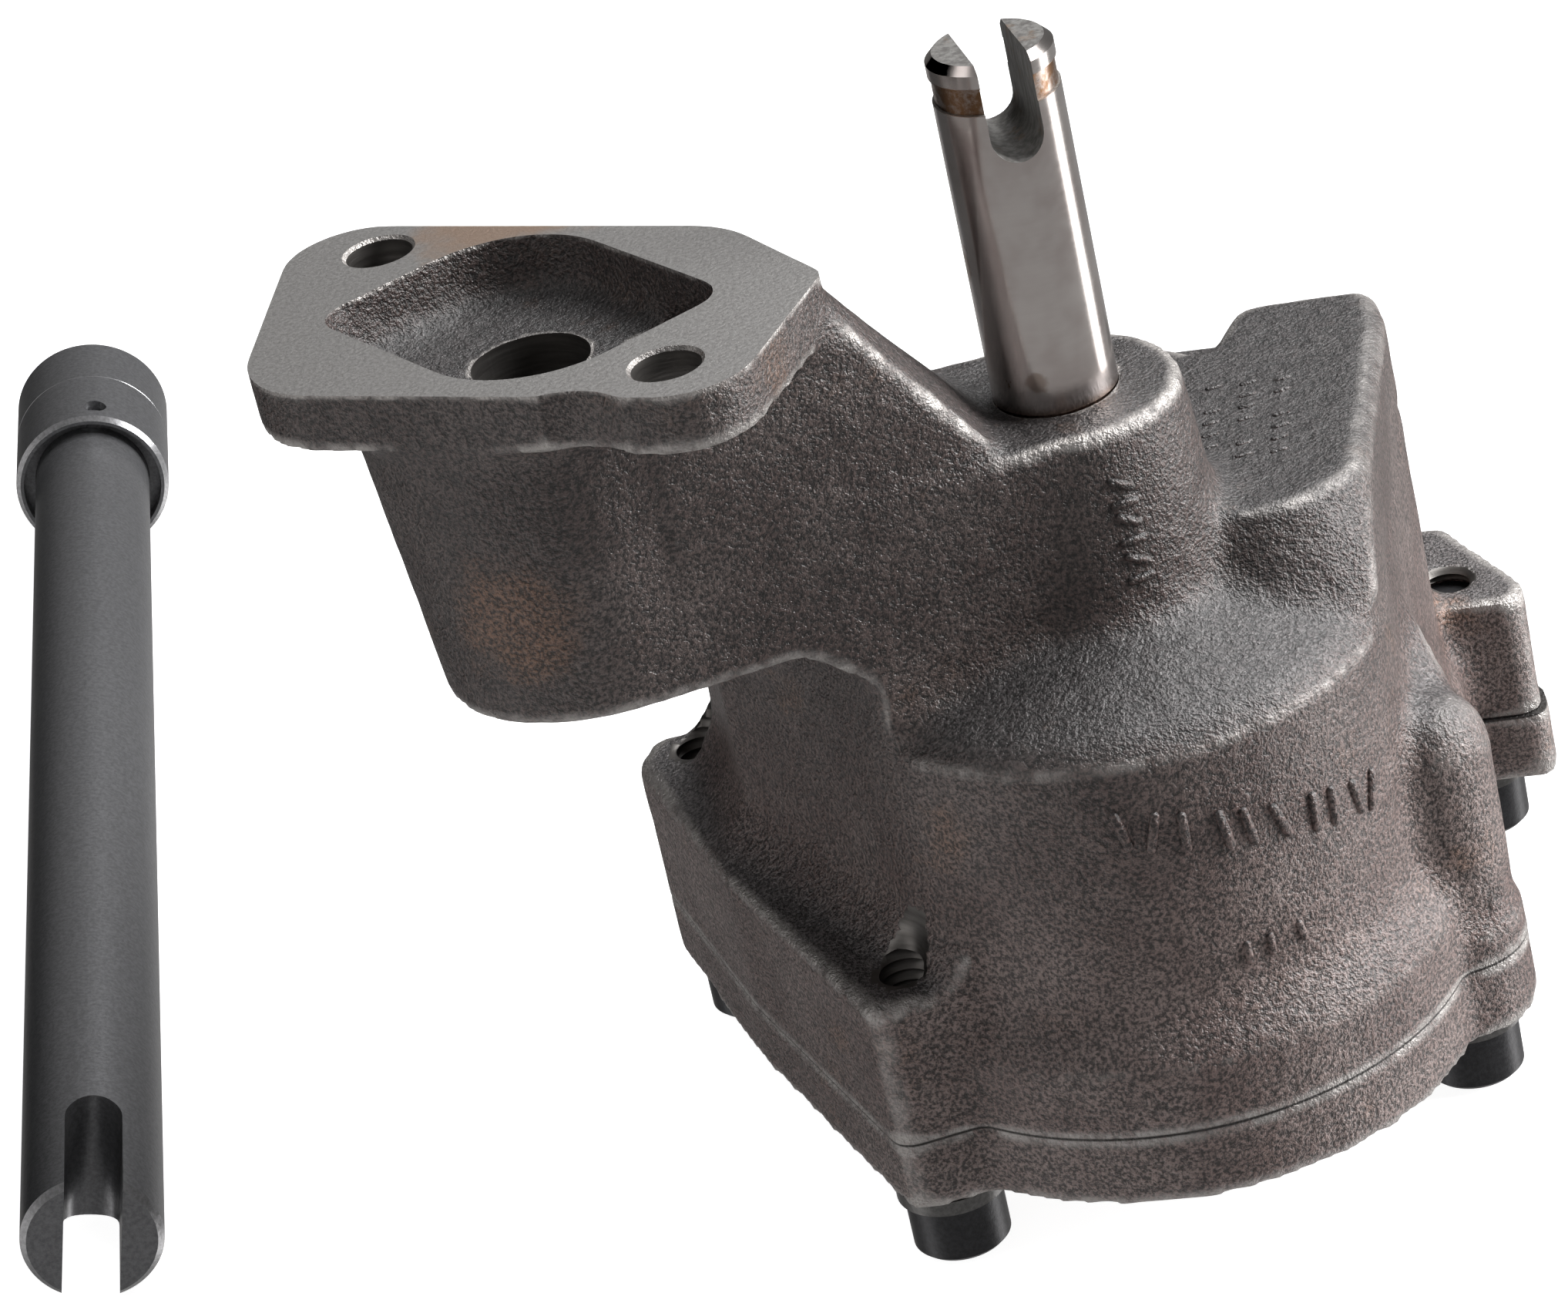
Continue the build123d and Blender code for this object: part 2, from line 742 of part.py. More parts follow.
def coupling_collar():
    """Steel sleeve, stepped inside, that keeps the tang in the pump shaft's slot."""
    collar = post(collar_diameter / 2, 0, collar_length)
    collar = chamfer(collar.edges(), collar_chamfer)
    step = collar_length - collar_overlap
    collar -= post(drive_radius + collar_clearance, 0, step)
    collar -= post(link_diameter / 2 + collar_clearance, step, collar_length)
    collar -= collar_pin_bar(collar_diameter + 2)
    return link_frame() * collar


def collar_pin():
    """Pin through the collar and the shaft."""
    return link_frame() * collar_pin_bar(collar_diameter - 1)


# ---------------------------------------------------------------- assembly
def build_nodes():
    """Every sub-part by its node name."""
    idler_phase = 90 + 180 / tooth_count
    nodes = {
        "pump_body": pump_body(),
        "pump_cover": pump_cover(),
        "drive_shaft": drive_shaft(),
        "drive_gear": spur_gear(90, drive_radius, drive_centre),
        "idler_shaft": idler_shaft(),
        "idler_gear": spur_gear(idler_phase, idler_radius + running_clearance, idler_centre),
        "relief_piston": relief_piston(),
        "relief_spring": relief_spring(),
        "relief_pin": relief_pin(),
        "intermediate_shaft": intermediate_shaft(),
        "coupling_collar": coupling_collar(),
        "collar_pin": collar_pin(),
    }
    for index, place in enumerate(bolt_places):
        nodes[f"cover_bolt_{index + 1}"] = cover_bolt(place)
        turn = washer_first_turn + washer_turn_step * index
        nodes[f"lock_washer_{index + 1}"] = lock_washer(place, turn)
    return nodes


os.makedirs("parts", exist_ok=True)
for name, shape in build_nodes().items():
    export_step(shape, f"parts/{name}.step")
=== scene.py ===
import json
import math

import bmesh
import bpy
import numpy as np
from mathutils import Matrix, Vector, noise
from mathutils.bvhtree import BVHTree


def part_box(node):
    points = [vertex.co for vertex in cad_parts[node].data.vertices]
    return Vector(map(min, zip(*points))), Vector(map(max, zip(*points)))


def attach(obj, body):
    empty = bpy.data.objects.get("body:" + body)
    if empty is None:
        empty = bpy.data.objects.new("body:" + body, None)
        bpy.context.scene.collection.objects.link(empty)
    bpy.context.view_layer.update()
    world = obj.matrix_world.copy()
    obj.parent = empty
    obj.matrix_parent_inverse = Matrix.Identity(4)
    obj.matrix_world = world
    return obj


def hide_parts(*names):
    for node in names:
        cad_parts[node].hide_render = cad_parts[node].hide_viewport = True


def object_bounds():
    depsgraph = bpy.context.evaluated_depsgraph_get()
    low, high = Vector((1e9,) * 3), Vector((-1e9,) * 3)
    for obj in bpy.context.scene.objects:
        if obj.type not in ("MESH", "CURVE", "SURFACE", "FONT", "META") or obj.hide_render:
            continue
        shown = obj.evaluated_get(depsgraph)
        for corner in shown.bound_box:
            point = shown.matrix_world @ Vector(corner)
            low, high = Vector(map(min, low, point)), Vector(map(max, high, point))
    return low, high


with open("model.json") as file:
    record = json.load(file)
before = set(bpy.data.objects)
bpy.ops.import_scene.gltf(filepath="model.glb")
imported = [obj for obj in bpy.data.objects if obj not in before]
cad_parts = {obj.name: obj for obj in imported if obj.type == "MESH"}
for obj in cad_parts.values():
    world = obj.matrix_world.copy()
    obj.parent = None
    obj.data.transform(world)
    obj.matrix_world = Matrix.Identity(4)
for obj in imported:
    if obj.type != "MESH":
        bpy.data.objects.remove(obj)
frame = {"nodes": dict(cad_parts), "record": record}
cad_low, cad_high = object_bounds()
nodes = frame["nodes"]
MM = 0.001

# ---------------------------------------------------------------- places, from the frame
mounts = {mount["name"]: mount for mount in frame["record"]["mounts"]}
cover_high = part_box("pump_cover")[1]
shaft_low, shaft_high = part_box("drive_shaft")
gear_low, gear_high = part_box("drive_gear")
idler_low, idler_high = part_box("idler_gear")
relief_low, relief_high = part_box("relief_piston")
BOLT_NUMBERS = range(1, 6)
bolts = [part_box(f"cover_bolt_{number}") for number in BOLT_NUMBERS]

FLOOR = cad_low.z
SEAM = cover_high.z
FLANGE_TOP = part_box("pump_body")[1].z
COVER_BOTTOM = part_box("lock_washer_1")[1].z
BOLT_PLACES = [((low.x + high.x) / 2, (low.y + high.y) / 2) for low, high in bolts]
BOLT_HEAD = bolts[0][0].z
BOLT_TOP = bolts[0][1].z
SHAFT_RADIUS = (shaft_high.x - shaft_low.x) / 2
SHAFT_TOP = shaft_high.z
IDLER = ((idler_low.x + idler_high.x) / 2, (idler_low.y + idler_high.y) / 2)
IDLER_SHAFT_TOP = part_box("idler_shaft")[1].z
MOUNT = Vector(mounts["mount_bolt"]["pos_m"])
MOUNT_RADIUS = mounts["mount_bolt"]["dims"]["r_mm"] * MM
DOWELS = [Vector(mounts[name]["pos_m"]) for name in ("dowel_a", "dowel_b")]
DOWEL_RADIUS = mounts["dowel_a"]["dims"]["r_mm"] * MM
PICKUP = Vector(mounts["pickup_bore"]["pos_m"])
PICKUP_RADIUS = mounts["pickup_bore"]["dims"]["r_mm"] * MM
PICKUP_DEPTH = mounts["pickup_bore"]["dims"]["length_mm"] * MM

# ---------------------------------------------------------------- camera
CAMERA_PLACE = Vector((70.4, -481.5, 230.6)) * MM
CAMERA_TURN = math.radians(12.1)      # swing of the view to the left of +Y
CAMERA_DIP = math.radians(27.56)      # how far it looks down
CAMERA_ROLL = math.radians(-12.98)
CAMERA_LENS = 125.0
CAMERA_CLIP = (0.01, 20.0)
SENSOR_WIDTH = 36.0


def make_camera():
    """Camera at the photographer's place, rolled about the direction that it looks in."""
    data = bpy.data.cameras.new("camera")
    data.lens = CAMERA_LENS
    data.sensor_width = SENSOR_WIDTH
    data.sensor_fit = "HORIZONTAL"
    data.clip_start, data.clip_end = CAMERA_CLIP
    camera = bpy.data.objects.new("camera", data)
    aim = Vector((
        -math.sin(CAMERA_TURN) * math.cos(CAMERA_DIP),
        math.cos(CAMERA_TURN) * math.cos(CAMERA_DIP),
        -math.sin(CAMERA_DIP),
    ))
    level = aim.cross(Vector((0, 0, 1))).normalized()
    right = Matrix.Rotation(-CAMERA_ROLL, 3, aim) @ level
    up = right.cross(aim)
    turn = Matrix((right, up, -aim)).transposed()
    camera.matrix_world = Matrix.Translation(CAMERA_PLACE) @ turn.to_4x4()
    bpy.context.scene.collection.objects.link(camera)
    bpy.context.scene.camera = camera


# ---------------------------------------------------------------- shader nodes
MIX_FACTOR, MIX_FIRST, MIX_SECOND = 0, 6, 7     # colour inputs of the Mix node
MIX_RESULT = 2


def add(tree, kind, values=None, **settings):
    """New shader node, with its settings, and its inputs set or linked."""
    node = tree.nodes.new("ShaderNode" + kind)
    for key, value in settings.items():
        setattr(node, key, value)
    for key, value in (values or {}).items():
        if isinstance(value, bpy.types.NodeSocket):
            tree.links.new(value, node.inputs[key])
        else:
            node.inputs[key].default_value = value
    return node


def maths(tree, operation, first, second=0.0):
    """Result of a sum on one or two values."""
    return add(tree, "Math", {0: first, 1: second}, operation=operation).outputs[0]


def between(tree, value, low, high, to_low=0.0, to_high=1.0, smooth=True):
    """Value carried from one range to another, held at the ends."""
    kind = "SMOOTHSTEP" if smooth else "LINEAR"
    places = {"From Min": low, "From Max": high, "To Min": to_low, "To Max": to_high}
    return add(tree, "MapRange", {"Value": value, **places}, interpolation_type=kind).outputs[0]


def blend_colours(tree, factor, first, second):
    """Two colours mixed by a factor."""
    values = {MIX_FACTOR: factor}
    for index, colour in ((MIX_FIRST, first), (MIX_SECOND, second)):
        linked = isinstance(colour, bpy.types.NodeSocket)
        values[index] = colour if linked else (*colour, 1)
    return add(tree, "Mix", values, data_type="RGBA").outputs[MIX_RESULT]


def scaled(tree, colour, factor):
    """Colour made darker or brighter by a factor."""
    return add(tree, "VectorMath", {0: colour, "Scale": factor}, operation="SCALE").outputs[0]


def upright(tree, vector):
    """Z part of a vector."""
    return add(tree, "SeparateXYZ", {0: vector}).outputs[2]


def speckle(tree, place, size, detail=2.0, roughness=0.5, stretch=None):
    """Noise whose blobs are about a given size."""
    if stretch:
        place = add(tree, "Mapping", {"Vector": place, "Scale": stretch}).outputs[0]
    values = {"Vector": place, "Scale": 1 / size, "Detail": detail, "Roughness": roughness}
    return add(tree, "TexNoise", values).outputs[0]


def patches(tree, place, size, detail, roughness, edge, share=(0.0, 1.0)):
    """Patches with a soft edge, which is where the noise lies between two values."""
    return between(tree, speckle(tree, place, size, detail, roughness), *edge, *share)


def stain_round(tree, place, spot, blob, wander, edge, strength):
    """Ragged stain that fades between two distances from a spot."""
    gap = add(tree, "VectorMath", {0: place, 1: spot}, operation="DISTANCE").outputs["Value"]
    ragged = maths(tree, "MULTIPLY", speckle(tree, place, blob, 3.0, 0.6), wander)
    return between(tree, maths(tree, "ADD", gap, ragged), *edge, strength, 0.0)


def bump(tree, height, distance, under=None):
    """Normal of a surface with small heights on it."""
    values = {"Height": height, "Distance": distance}
    if under is not None:
        values["Normal"] = under
    return add(tree, "Bump", values).outputs[0]


def new_material(name):
    """Empty node material and its node tree."""
    material = bpy.data.materials.new(name)
    material.use_nodes = True
    material.node_tree.nodes.clear()
    return material, material.node_tree


def piece_material(name):
    """Empty node material, its node tree, and the place on the piece."""
    material, tree = new_material(name)
    return material, tree, add(tree, "TexCoord").outputs["Object"]


def surface(tree, colour, roughness, metallic, normal, **more):
    """Principled surface as the tree's output."""
    values = {"Base Color": colour, "Roughness": roughness, "Metallic": metallic, "Normal": normal}
    values.update(more)
    shader = add(tree, "BsdfPrincipled", values)
    add(tree, "OutputMaterial", {"Surface": shader.outputs[0]})


# ---------------------------------------------------------------- floor, world, lamps
FLOOR_REACH = 6.0
FLOOR_GAP = 0.2 * MM
FLOOR_COLOUR = (0.5, 0.5, 0.5, 1)
FLOOR_GLOW = (0.93, 0.93, 0.93, 1)
FLOOR_BOUNCE = 0.4      # its glow as the pieces get it, against 1 for the camera
CAMERA_SIDE = math.atan2(CAMERA_PLACE.y, CAMERA_PLACE.x)
STRIPS = (  # turn from the camera's side, half width, strength
    (math.radians(104), math.radians(9), 4.2),
    (math.radians(-80), math.radians(12), 1.25),
    (math.radians(-125), math.radians(22), -0.22),
)
STRIP_EDGE = (1.35, 0.65)       # where a strip starts and where it is full, in half widths
ROOM_TINT = (1.0, 0.985, 0.975, 1)
ROOM_LIGHT = 0.12
SKY_RISE = (0.2, 0.9)           # upward part of the directions between which the sky light grows
SKY_LIGHT = 0.04
LOW_RISE = (-0.55, -0.15)
LOW_LIGHT = 0.30                # pale table, as bright metal mirrors it
LAMP_TARGET = (-0.01, 0.02, -0.03)
LAMPS = (  # name, place, size, power
    ("key", (0.25, 0.45, 0.8), (0.6, 0.5), 8.0),
    ("right", (0.75, 0.1, 0.3), (0.3, 0.6), 13.0),
    ("front", (-0.3, -0.9, 0.45), (0.8, 0.5), 0.5),
)


def strip_of_light(tree, level, turn, half_width):
    """How far a direction lies inside an upright strip of the room."""
    heading = CAMERA_SIDE + turn
    middle = (math.cos(heading), math.sin(heading), 0)
    near = add(tree, "VectorMath", {0: level, 1: middle}, operation="DOT_PRODUCT").outputs["Value"]
    start, full = (math.cos(edge * half_width) for edge in STRIP_EDGE)
    return between(tree, near, start, full)


def make_world():
    """Dim room with an upright soft box on each side, and plain white behind everything."""
    world = bpy.data.worlds.new("studio")
    world.use_nodes = True
    tree = world.node_tree
    tree.nodes.clear()
    direction = add(tree, "TexCoord").outputs["Generated"]
    parts = add(tree, "SeparateXYZ", {0: direction}).outputs
    flat = add(tree, "CombineXYZ", {0: parts[0], 1: parts[1]}).outputs[0]
    level = add(tree, "VectorMath", {0: flat}, operation="NORMALIZE").outputs[0]
    strength = maths(tree, "ADD", ROOM_LIGHT, between(tree, parts[2], *SKY_RISE, 0.0, SKY_LIGHT))
    strength = maths(tree, "ADD", strength, between(tree, parts[2], *LOW_RISE, LOW_LIGHT, 0.0))
    for turn, half_width, power in STRIPS:
        share = strip_of_light(tree, level, turn, half_width)
        strength = maths(tree, "ADD", strength, maths(tree, "MULTIPLY", share, power))
    path = add(tree, "LightPath").outputs
    seen = maths(tree, "MAXIMUM", path["Is Camera Ray"], path["Is Transmission Ray"])
    light = add(tree, "Background", {"Color": ROOM_TINT, "Strength": strength})
    white = add(tree, "Background", {"Color": (1, 1, 1, 1)})
    mix = add(tree, "MixShader", {0: seen, 1: light.outputs[0], 2: white.outputs[0]})
    add(tree, "OutputWorld", {"Surface": mix.outputs[0]})
    bpy.context.scene.world = world


def make_floor():
    """White floor that keeps a faint shadow, and that bright metal doesn't mirror."""
    level = FLOOR - FLOOR_GAP
    signs = ((-1, -1), (1, -1), (1, 1), (-1, 1))
    corners = [(x * FLOOR_REACH, y * FLOOR_REACH, level) for x, y in signs]
    mesh = bpy.data.meshes.new("floor")
    mesh.from_pydata(corners, [], [(0, 1, 2, 3)])
    floor = place_object("floor", mesh)
    material, tree = new_material("floor_white")
    path = add(tree, "LightPath").outputs
    paper = add(tree, "BsdfDiffuse", {"Color": FLOOR_COLOUR})
    strength = maths(tree, "MAXIMUM", path["Is Camera Ray"], FLOOR_BOUNCE)
    glow = add(tree, "Emission", {"Color": FLOOR_GLOW, "Strength": strength})
    both = add(tree, "AddShader", {0: paper.outputs[0], 1: glow.outputs[0]})
    clear = add(tree, "BsdfTransparent")
    mirrored = path["Is Glossy Ray"]
    mix = add(tree, "MixShader", {0: mirrored, 1: both.outputs[0], 2: clear.outputs[0]})
    add(tree, "OutputMaterial", {"Surface": mix.outputs[0]})
    mesh.materials.append(material)


def area_lamp(name, place, size, power):
    """Soft oblong lamp aimed at the pump."""
    data = bpy.data.lights.new(name, "AREA")
    data.shape = "RECTANGLE"
    data.size, data.size_y = size
    data.energy = power
    lamp = bpy.data.objects.new(name, data)
    lamp.location = place
    aim = Vector(LAMP_TARGET) - Vector(place)
    lamp.rotation_euler = aim.to_track_quat("-Z", "Y").to_euler()
    bpy.context.scene.collection.objects.link(lamp)


# ---------------------------------------------------------------- mesh helpers
VOXEL = 0.85 * MM
WELD = 0.001 * MM
DRILL_SIDES = 48
SHAFT_SIDES = 128
SOFT_STEP = 0.5                 # share of the way to its neighbours that a vertex moves at once
NORMALS_KEPT = 10               # softening steps between two looks at the normals


def place_object(name, mesh):
    """New object in the scene."""
    thing = bpy.data.objects.new(name, mesh)
    bpy.context.scene.collection.objects.link(thing)
    return thing


def ring_points(radius, level, place, sides):
    """Corners of a level regular polygon."""
    turns = [math.tau * index / sides for index in range(sides)]
    x, y = place[:2]
    return [(x + radius * math.cos(turn), y + radius * math.sin(turn), level) for turn in turns]


def wall_faces(rings, sides, first=0):
    """Faces between rings of corners that lie one above another."""
    faces = []
    for low in range(first, first + (rings - 1) * sides, sides):
        high = low + sides
        for index in range(sides):
            after = (index + 1) % sides
            faces.append((low + index, low + after, high + after, high + index))
    return faces


def turned(profile, place=(0.0, 0.0), sides=DRILL_SIDES):
    """Mesh of a closed solid turned about an upright axis, from (radius, level) pairs."""
    mesh = bpy.data.meshes.new("turned")
    points = []
    for radius, level in profile:
        points += ring_points(radius, level, place, sides)
    last = len(points) - sides
    underside = tuple(reversed(range(sides)))
    top = tuple(range(last, last + sides))
    mesh.from_pydata(points, [], [underside, *wall_faces(len(profile), sides), top])
    return mesh


def drill(radius, low, high, place):
    """Mesh of an upright round bar."""
    return turned([(radius, low), (radius, high)], place)


def across(radius, half_length, level, turn, bevel=0.0):
    """Mesh of a round bar across the Z axis, at a level and a turn."""
    profile = [(radius, bevel - half_length), (radius, half_length - bevel)]
    if bevel:
        profile = [(radius - bevel, -half_length), *profile, (radius - bevel, half_length)]
    mesh = turned(profile)
    mesh.transform(
        Matrix.Translation((0, 0, level))
        @ Matrix.Rotation(turn, 4, "Z")
        @ Matrix.Rotation(math.pi / 2, 4, "Y")
    )
    return mesh


def block(low, high):
    """Mesh of a box between two corners."""
    mesh = bpy.data.meshes.new("block")
    bm = bmesh.new()
    bmesh.ops.create_cube(bm, size=1.0)
    size = Vector(high) - Vector(low)
    bmesh.ops.scale(bm, verts=bm.verts, vec=size)
    bmesh.ops.translate(bm, verts=bm.verts, vec=Vector(low) + size / 2)
    bm.to_mesh(mesh)
    bm.free()
    return mesh


def welded(mesh, extras=()):
    """Copy of a mesh with its split corners joined, together with some extra meshes."""
    bm = bmesh.new()
    bm.from_mesh(mesh)
    bmesh.ops.remove_doubles(bm, verts=bm.verts, dist=WELD)
    for extra in extras:
        bm.from_mesh(extra)
    joined = bpy.data.meshes.new(mesh.name + "_joined")
    bm.to_mesh(joined)
    bm.free()
    return joined


def settle(thing):
    """Applies an object's modifiers to its mesh."""
    graph = bpy.context.evaluated_depsgraph_get()
    mesh = bpy.data.meshes.new_from_object(thing.evaluated_get(graph))
    thing.modifiers.clear()
    thing.data = mesh


def remesh(thing):
    """Replaces an object's mesh by one even skin."""
    modifier = thing.modifiers.new("skin", "REMESH")
    modifier.mode = "VOXEL"
    modifier.voxel_size = VOXEL
    settle(thing)


def cut_away(thing, cutters):
    """Takes solids out of an object, one after another."""
    tools = []
    for cutter in cutters:
        tool = place_object("cutter", cutter)
        modifier = thing.modifiers.new("cut", "BOOLEAN")
        modifier.operation = "DIFFERENCE"
        modifier.solver = "MANIFOLD"
        modifier.object = tool
        tools.append(tool)
    settle(thing)
    for tool in tools:
        bpy.data.objects.remove(tool)


def vectors(items, field):
    """A field of a mesh's vertices or faces, as rows of an array."""
    values = np.empty(len(items) * 3)
    items.foreach_get(field, values)
    return values.reshape(-1, 3)


def read_points(mesh):
    """Vertex places as an array."""
    return vectors(mesh.vertices, "co")


def read_normals(mesh):
    """Vertex normals as an array."""
    return vectors(mesh.vertices, "normal")


def write_points(mesh, points):
    """Puts vertex places back."""
    mesh.vertices.foreach_set("co", points.ravel())
    mesh.update()


def mean_of_neighbours(points, ends, count):
    """Average place of each vertex's neighbours."""
    total = np.empty_like(points)
    for axis in range(3):
        total[:, axis] = np.bincount(ends[:, 0], points[ends[:, 1], axis], len(points))
        total[:, axis] += np.bincount(ends[:, 1], points[ends[:, 0], axis], len(points))
    return total / count[:, None]


def soften(mesh, weight, rounding, filling):
    """Rounds the edges of a skin, then fills its hollow corners with wider fillets."""
    ends = np.empty(len(mesh.edges) * 2, dtype=np.int64)
    mesh.edges.foreach_get("vertices", ends)
    ends = ends.reshape(-1, 2)
    points = read_points(mesh)
    count = np.bincount(ends.ravel(), minlength=len(points)).astype(float)
    for _ in range(rounding):
        shift = mean_of_neighbours(points, ends, count) - points
        points += SOFT_STEP * weight[:, None] * shift
    write_points(mesh, points)
    normals = read_normals(mesh)
    for index in range(filling):
        if (index + 1) % NORMALS_KEPT == 0:
            write_points(mesh, points)
            normals = read_normals(mesh)
        shift = mean_of_neighbours(points, ends, count) - points
        outward = np.einsum("ij,ij->i", shift, normals)
        points += SOFT_STEP * (weight * (outward > 0))[:, None] * shift
    write_points(mesh, points)


def roughen(mesh, weight, waves):
    """Moves a skin in and out along its normals, by (wavelength, height) waves."""
    points = read_points(mesh)
    normals = read_normals(mesh)
    lift = np.zeros(len(points))
    for length, height in waves:
        lift += height * np.array([noise.noise(Vector(point) / length) for point in points])
    write_points(mesh, points + (weight * lift)[:, None] * normals)


def dress(mesh, surfaces):
    """Gives a mesh its materials."""
    mesh.materials.clear()
    for material in surfaces:
        mesh.materials.append(material)


# ---------------------------------------------------------------- cast skins
ON_FACE = 0.02 * MM             # how near a flat face or a bore's wall counts as on it
FAR = 0.2                       # beyond the whole pump
RAISED = 1.2 * MM               # metal left on a machined face before it is cut
PLUG_GROWTH = 0.3 * MM
LEDGE_TOP = SEAM + 16.5 * MM
EAR_TOP = SEAM + 14.5 * MM
BOSS_TOP = -0.5 * MM
COLUMN_BOTTOM = FLANGE_TOP - 38.0 * MM
FLANGE_THICKNESS = 6.2 * MM
POCKET_FLOOR = FLANGE_TOP - 6.0 * MM
CHAMBER_RADIUS = (gear_high.x - gear_low.x) / 2 + 0.25 * MM
CHAMBER_TOP = gear_high.z + 0.05 * MM
SHAFT_PLAY = 0.03 * MM
DOWEL_DEPTH = 12.0 * MM
DOWEL_CHAMFER = 0.35 * MM
THREAD_RADIUS = 3.2 * MM
THREAD_PITCH = 1.27 * MM
DRILL_RADIUS = 2.55 * MM
DRILL_END = LEDGE_TOP + 6.0 * MM
SHORT_ENDS = {0: LEDGE_TOP + 1.2 * MM, 1: BOLT_TOP + 0.5 * MM}     # by the bolt's index
PLUG_ENDS = {2: EAR_TOP}
BOLT_GAP = 0.4 * MM             # clear hole above a bolt's end
CLEARANCE_RADIUS = 3.43 * MM
RELIEF_RADIUS = (relief_high.z - relief_low.z) / 2 + 0.04 * MM
NOTCH_RADIUS = 8.0 * MM
NOTCH_PLACE = (DOWELS[1].x - 10.0 * MM, DOWELS[1].y - 11.0 * MM)
BODY_FADE, COVER_FADE = 2.5 * MM, 1.5 * MM      # softening fades this near a machined face
BODY_ROUNDS, COVER_ROUNDS = (2, 15), (2, 6)     # steps of rounding and of filling
BODY_WAVES = ((10 * MM, 0.14 * MM), (2.6 * MM, 0.05 * MM))
COVER_WAVES = ((10 * MM, 0.12 * MM), (2.6 * MM, 0.05 * MM))
SEAM_BREAK = 0.22 * MM
SEAM_TOLERANCE = 0.01 * MM
SKIN_CREASE = math.radians(42)
CAST, MILLED, BORED = range(3)  # order of a casting's surfaces
HOLES = [(dowel, DOWEL_RADIUS, FLANGE_TOP - DOWEL_DEPTH, FLANGE_TOP) for dowel in DOWELS]
HOLES += [(MOUNT, MOUNT_RADIUS, COLUMN_BOTTOM, POCKET_FLOOR + MM)]
HOLES += [(place, THREAD_RADIUS, SEAM, DRILL_END) for place in BOLT_PLACES]


def thread_rod(low, high, place):
    """Cutter for a tapped hole: ridges one pitch apart, ending in a plain drilled stretch."""
    profile = []
    level = low
    while level < high - THREAD_PITCH:
        profile.append((DRILL_RADIUS, level))
        profile.append((THREAD_RADIUS, level + THREAD_PITCH / 2))
        level += THREAD_PITCH
    profile.append((DRILL_RADIUS, level))
    profile.append((DRILL_RADIUS, high))
    return turned(profile, place)


def body_plugs():
    """Solids that fill the drilled and bored places of the body while its skin is softened."""
    low = SEAM - RAISED
    chamber = CHAMBER_RADIUS + PLUG_GROWTH
    plugs = [
        drill(chamber, low, CHAMBER_TOP + PLUG_GROWTH, (0, 0)),
        drill(chamber, low, CHAMBER_TOP + PLUG_GROWTH, IDLER),
        drill(SHAFT_RADIUS + 2 * PLUG_GROWTH, CHAMBER_TOP, BOSS_TOP, (0, 0)),
        drill(SHAFT_RADIUS + PLUG_GROWTH, CHAMBER_TOP, IDLER_SHAFT_TOP + PLUG_GROWTH, IDLER),
        drill(MOUNT_RADIUS + PLUG_GROWTH, COLUMN_BOTTOM, POCKET_FLOOR, MOUNT),
    ]
    underside = FLANGE_TOP - FLANGE_THICKNESS
    for dowel in DOWELS:
        plugs.append(drill(DOWEL_RADIUS + 2 * PLUG_GROWTH, underside, FLANGE_TOP + RAISED, dowel))
    for index, place in enumerate(BOLT_PLACES):
        top = PLUG_ENDS.get(index, LEDGE_TOP)
        plugs.append(drill(THREAD_RADIUS + PLUG_GROWTH, low, top - 2 * PLUG_GROWTH, place))
    return plugs


def body_drills():
    """Cutters for the machined places of the body."""
    cutters = [
        block((-FAR, -FAR, FLANGE_TOP), (FAR, FAR, FLANGE_TOP + FAR)),
        block((-FAR, -FAR, SEAM - FAR), (FAR, FAR, SEAM)),
        drill(CHAMBER_RADIUS, SEAM - MM, CHAMBER_TOP, (0, 0)),
        drill(CHAMBER_RADIUS, SEAM - MM, CHAMBER_TOP, IDLER),
        drill(SHAFT_RADIUS + SHAFT_PLAY, CHAMBER_TOP - MM, BOSS_TOP + 3 * MM, (0, 0)),
        drill(SHAFT_RADIUS, CHAMBER_TOP - MM, IDLER_SHAFT_TOP, IDLER),
        drill(MOUNT_RADIUS, COLUMN_BOTTOM - MM, FLANGE_TOP + MM, MOUNT),
    ]
    for dowel in DOWELS:
        profile = [
            (DOWEL_RADIUS, FLANGE_TOP - DOWEL_DEPTH),
            (DOWEL_RADIUS, FLANGE_TOP - DOWEL_CHAMFER),
            (DOWEL_RADIUS + DOWEL_CHAMFER, FLANGE_TOP),
            (DOWEL_RADIUS + DOWEL_CHAMFER, FLANGE_TOP + MM),
        ]
        cutters.append(turned(profile, dowel))
    for index, place in enumerate(BOLT_PLACES):
        cutters.append(drill(THREAD_RADIUS, SEAM - MM, BOLT_TOP + BOLT_GAP, place))
        cutters.append(thread_rod(BOLT_TOP, SHORT_ENDS.get(index, DRILL_END), place))
    return cutters


def cover_plugs():
    """Solids that fill the bolt holes of the cover while its skin is softened."""
    radius = CLEARANCE_RADIUS + PLUG_GROWTH
    return [drill(radius, COVER_BOTTOM, SEAM + RAISED, place) for place in BOLT_PLACES]


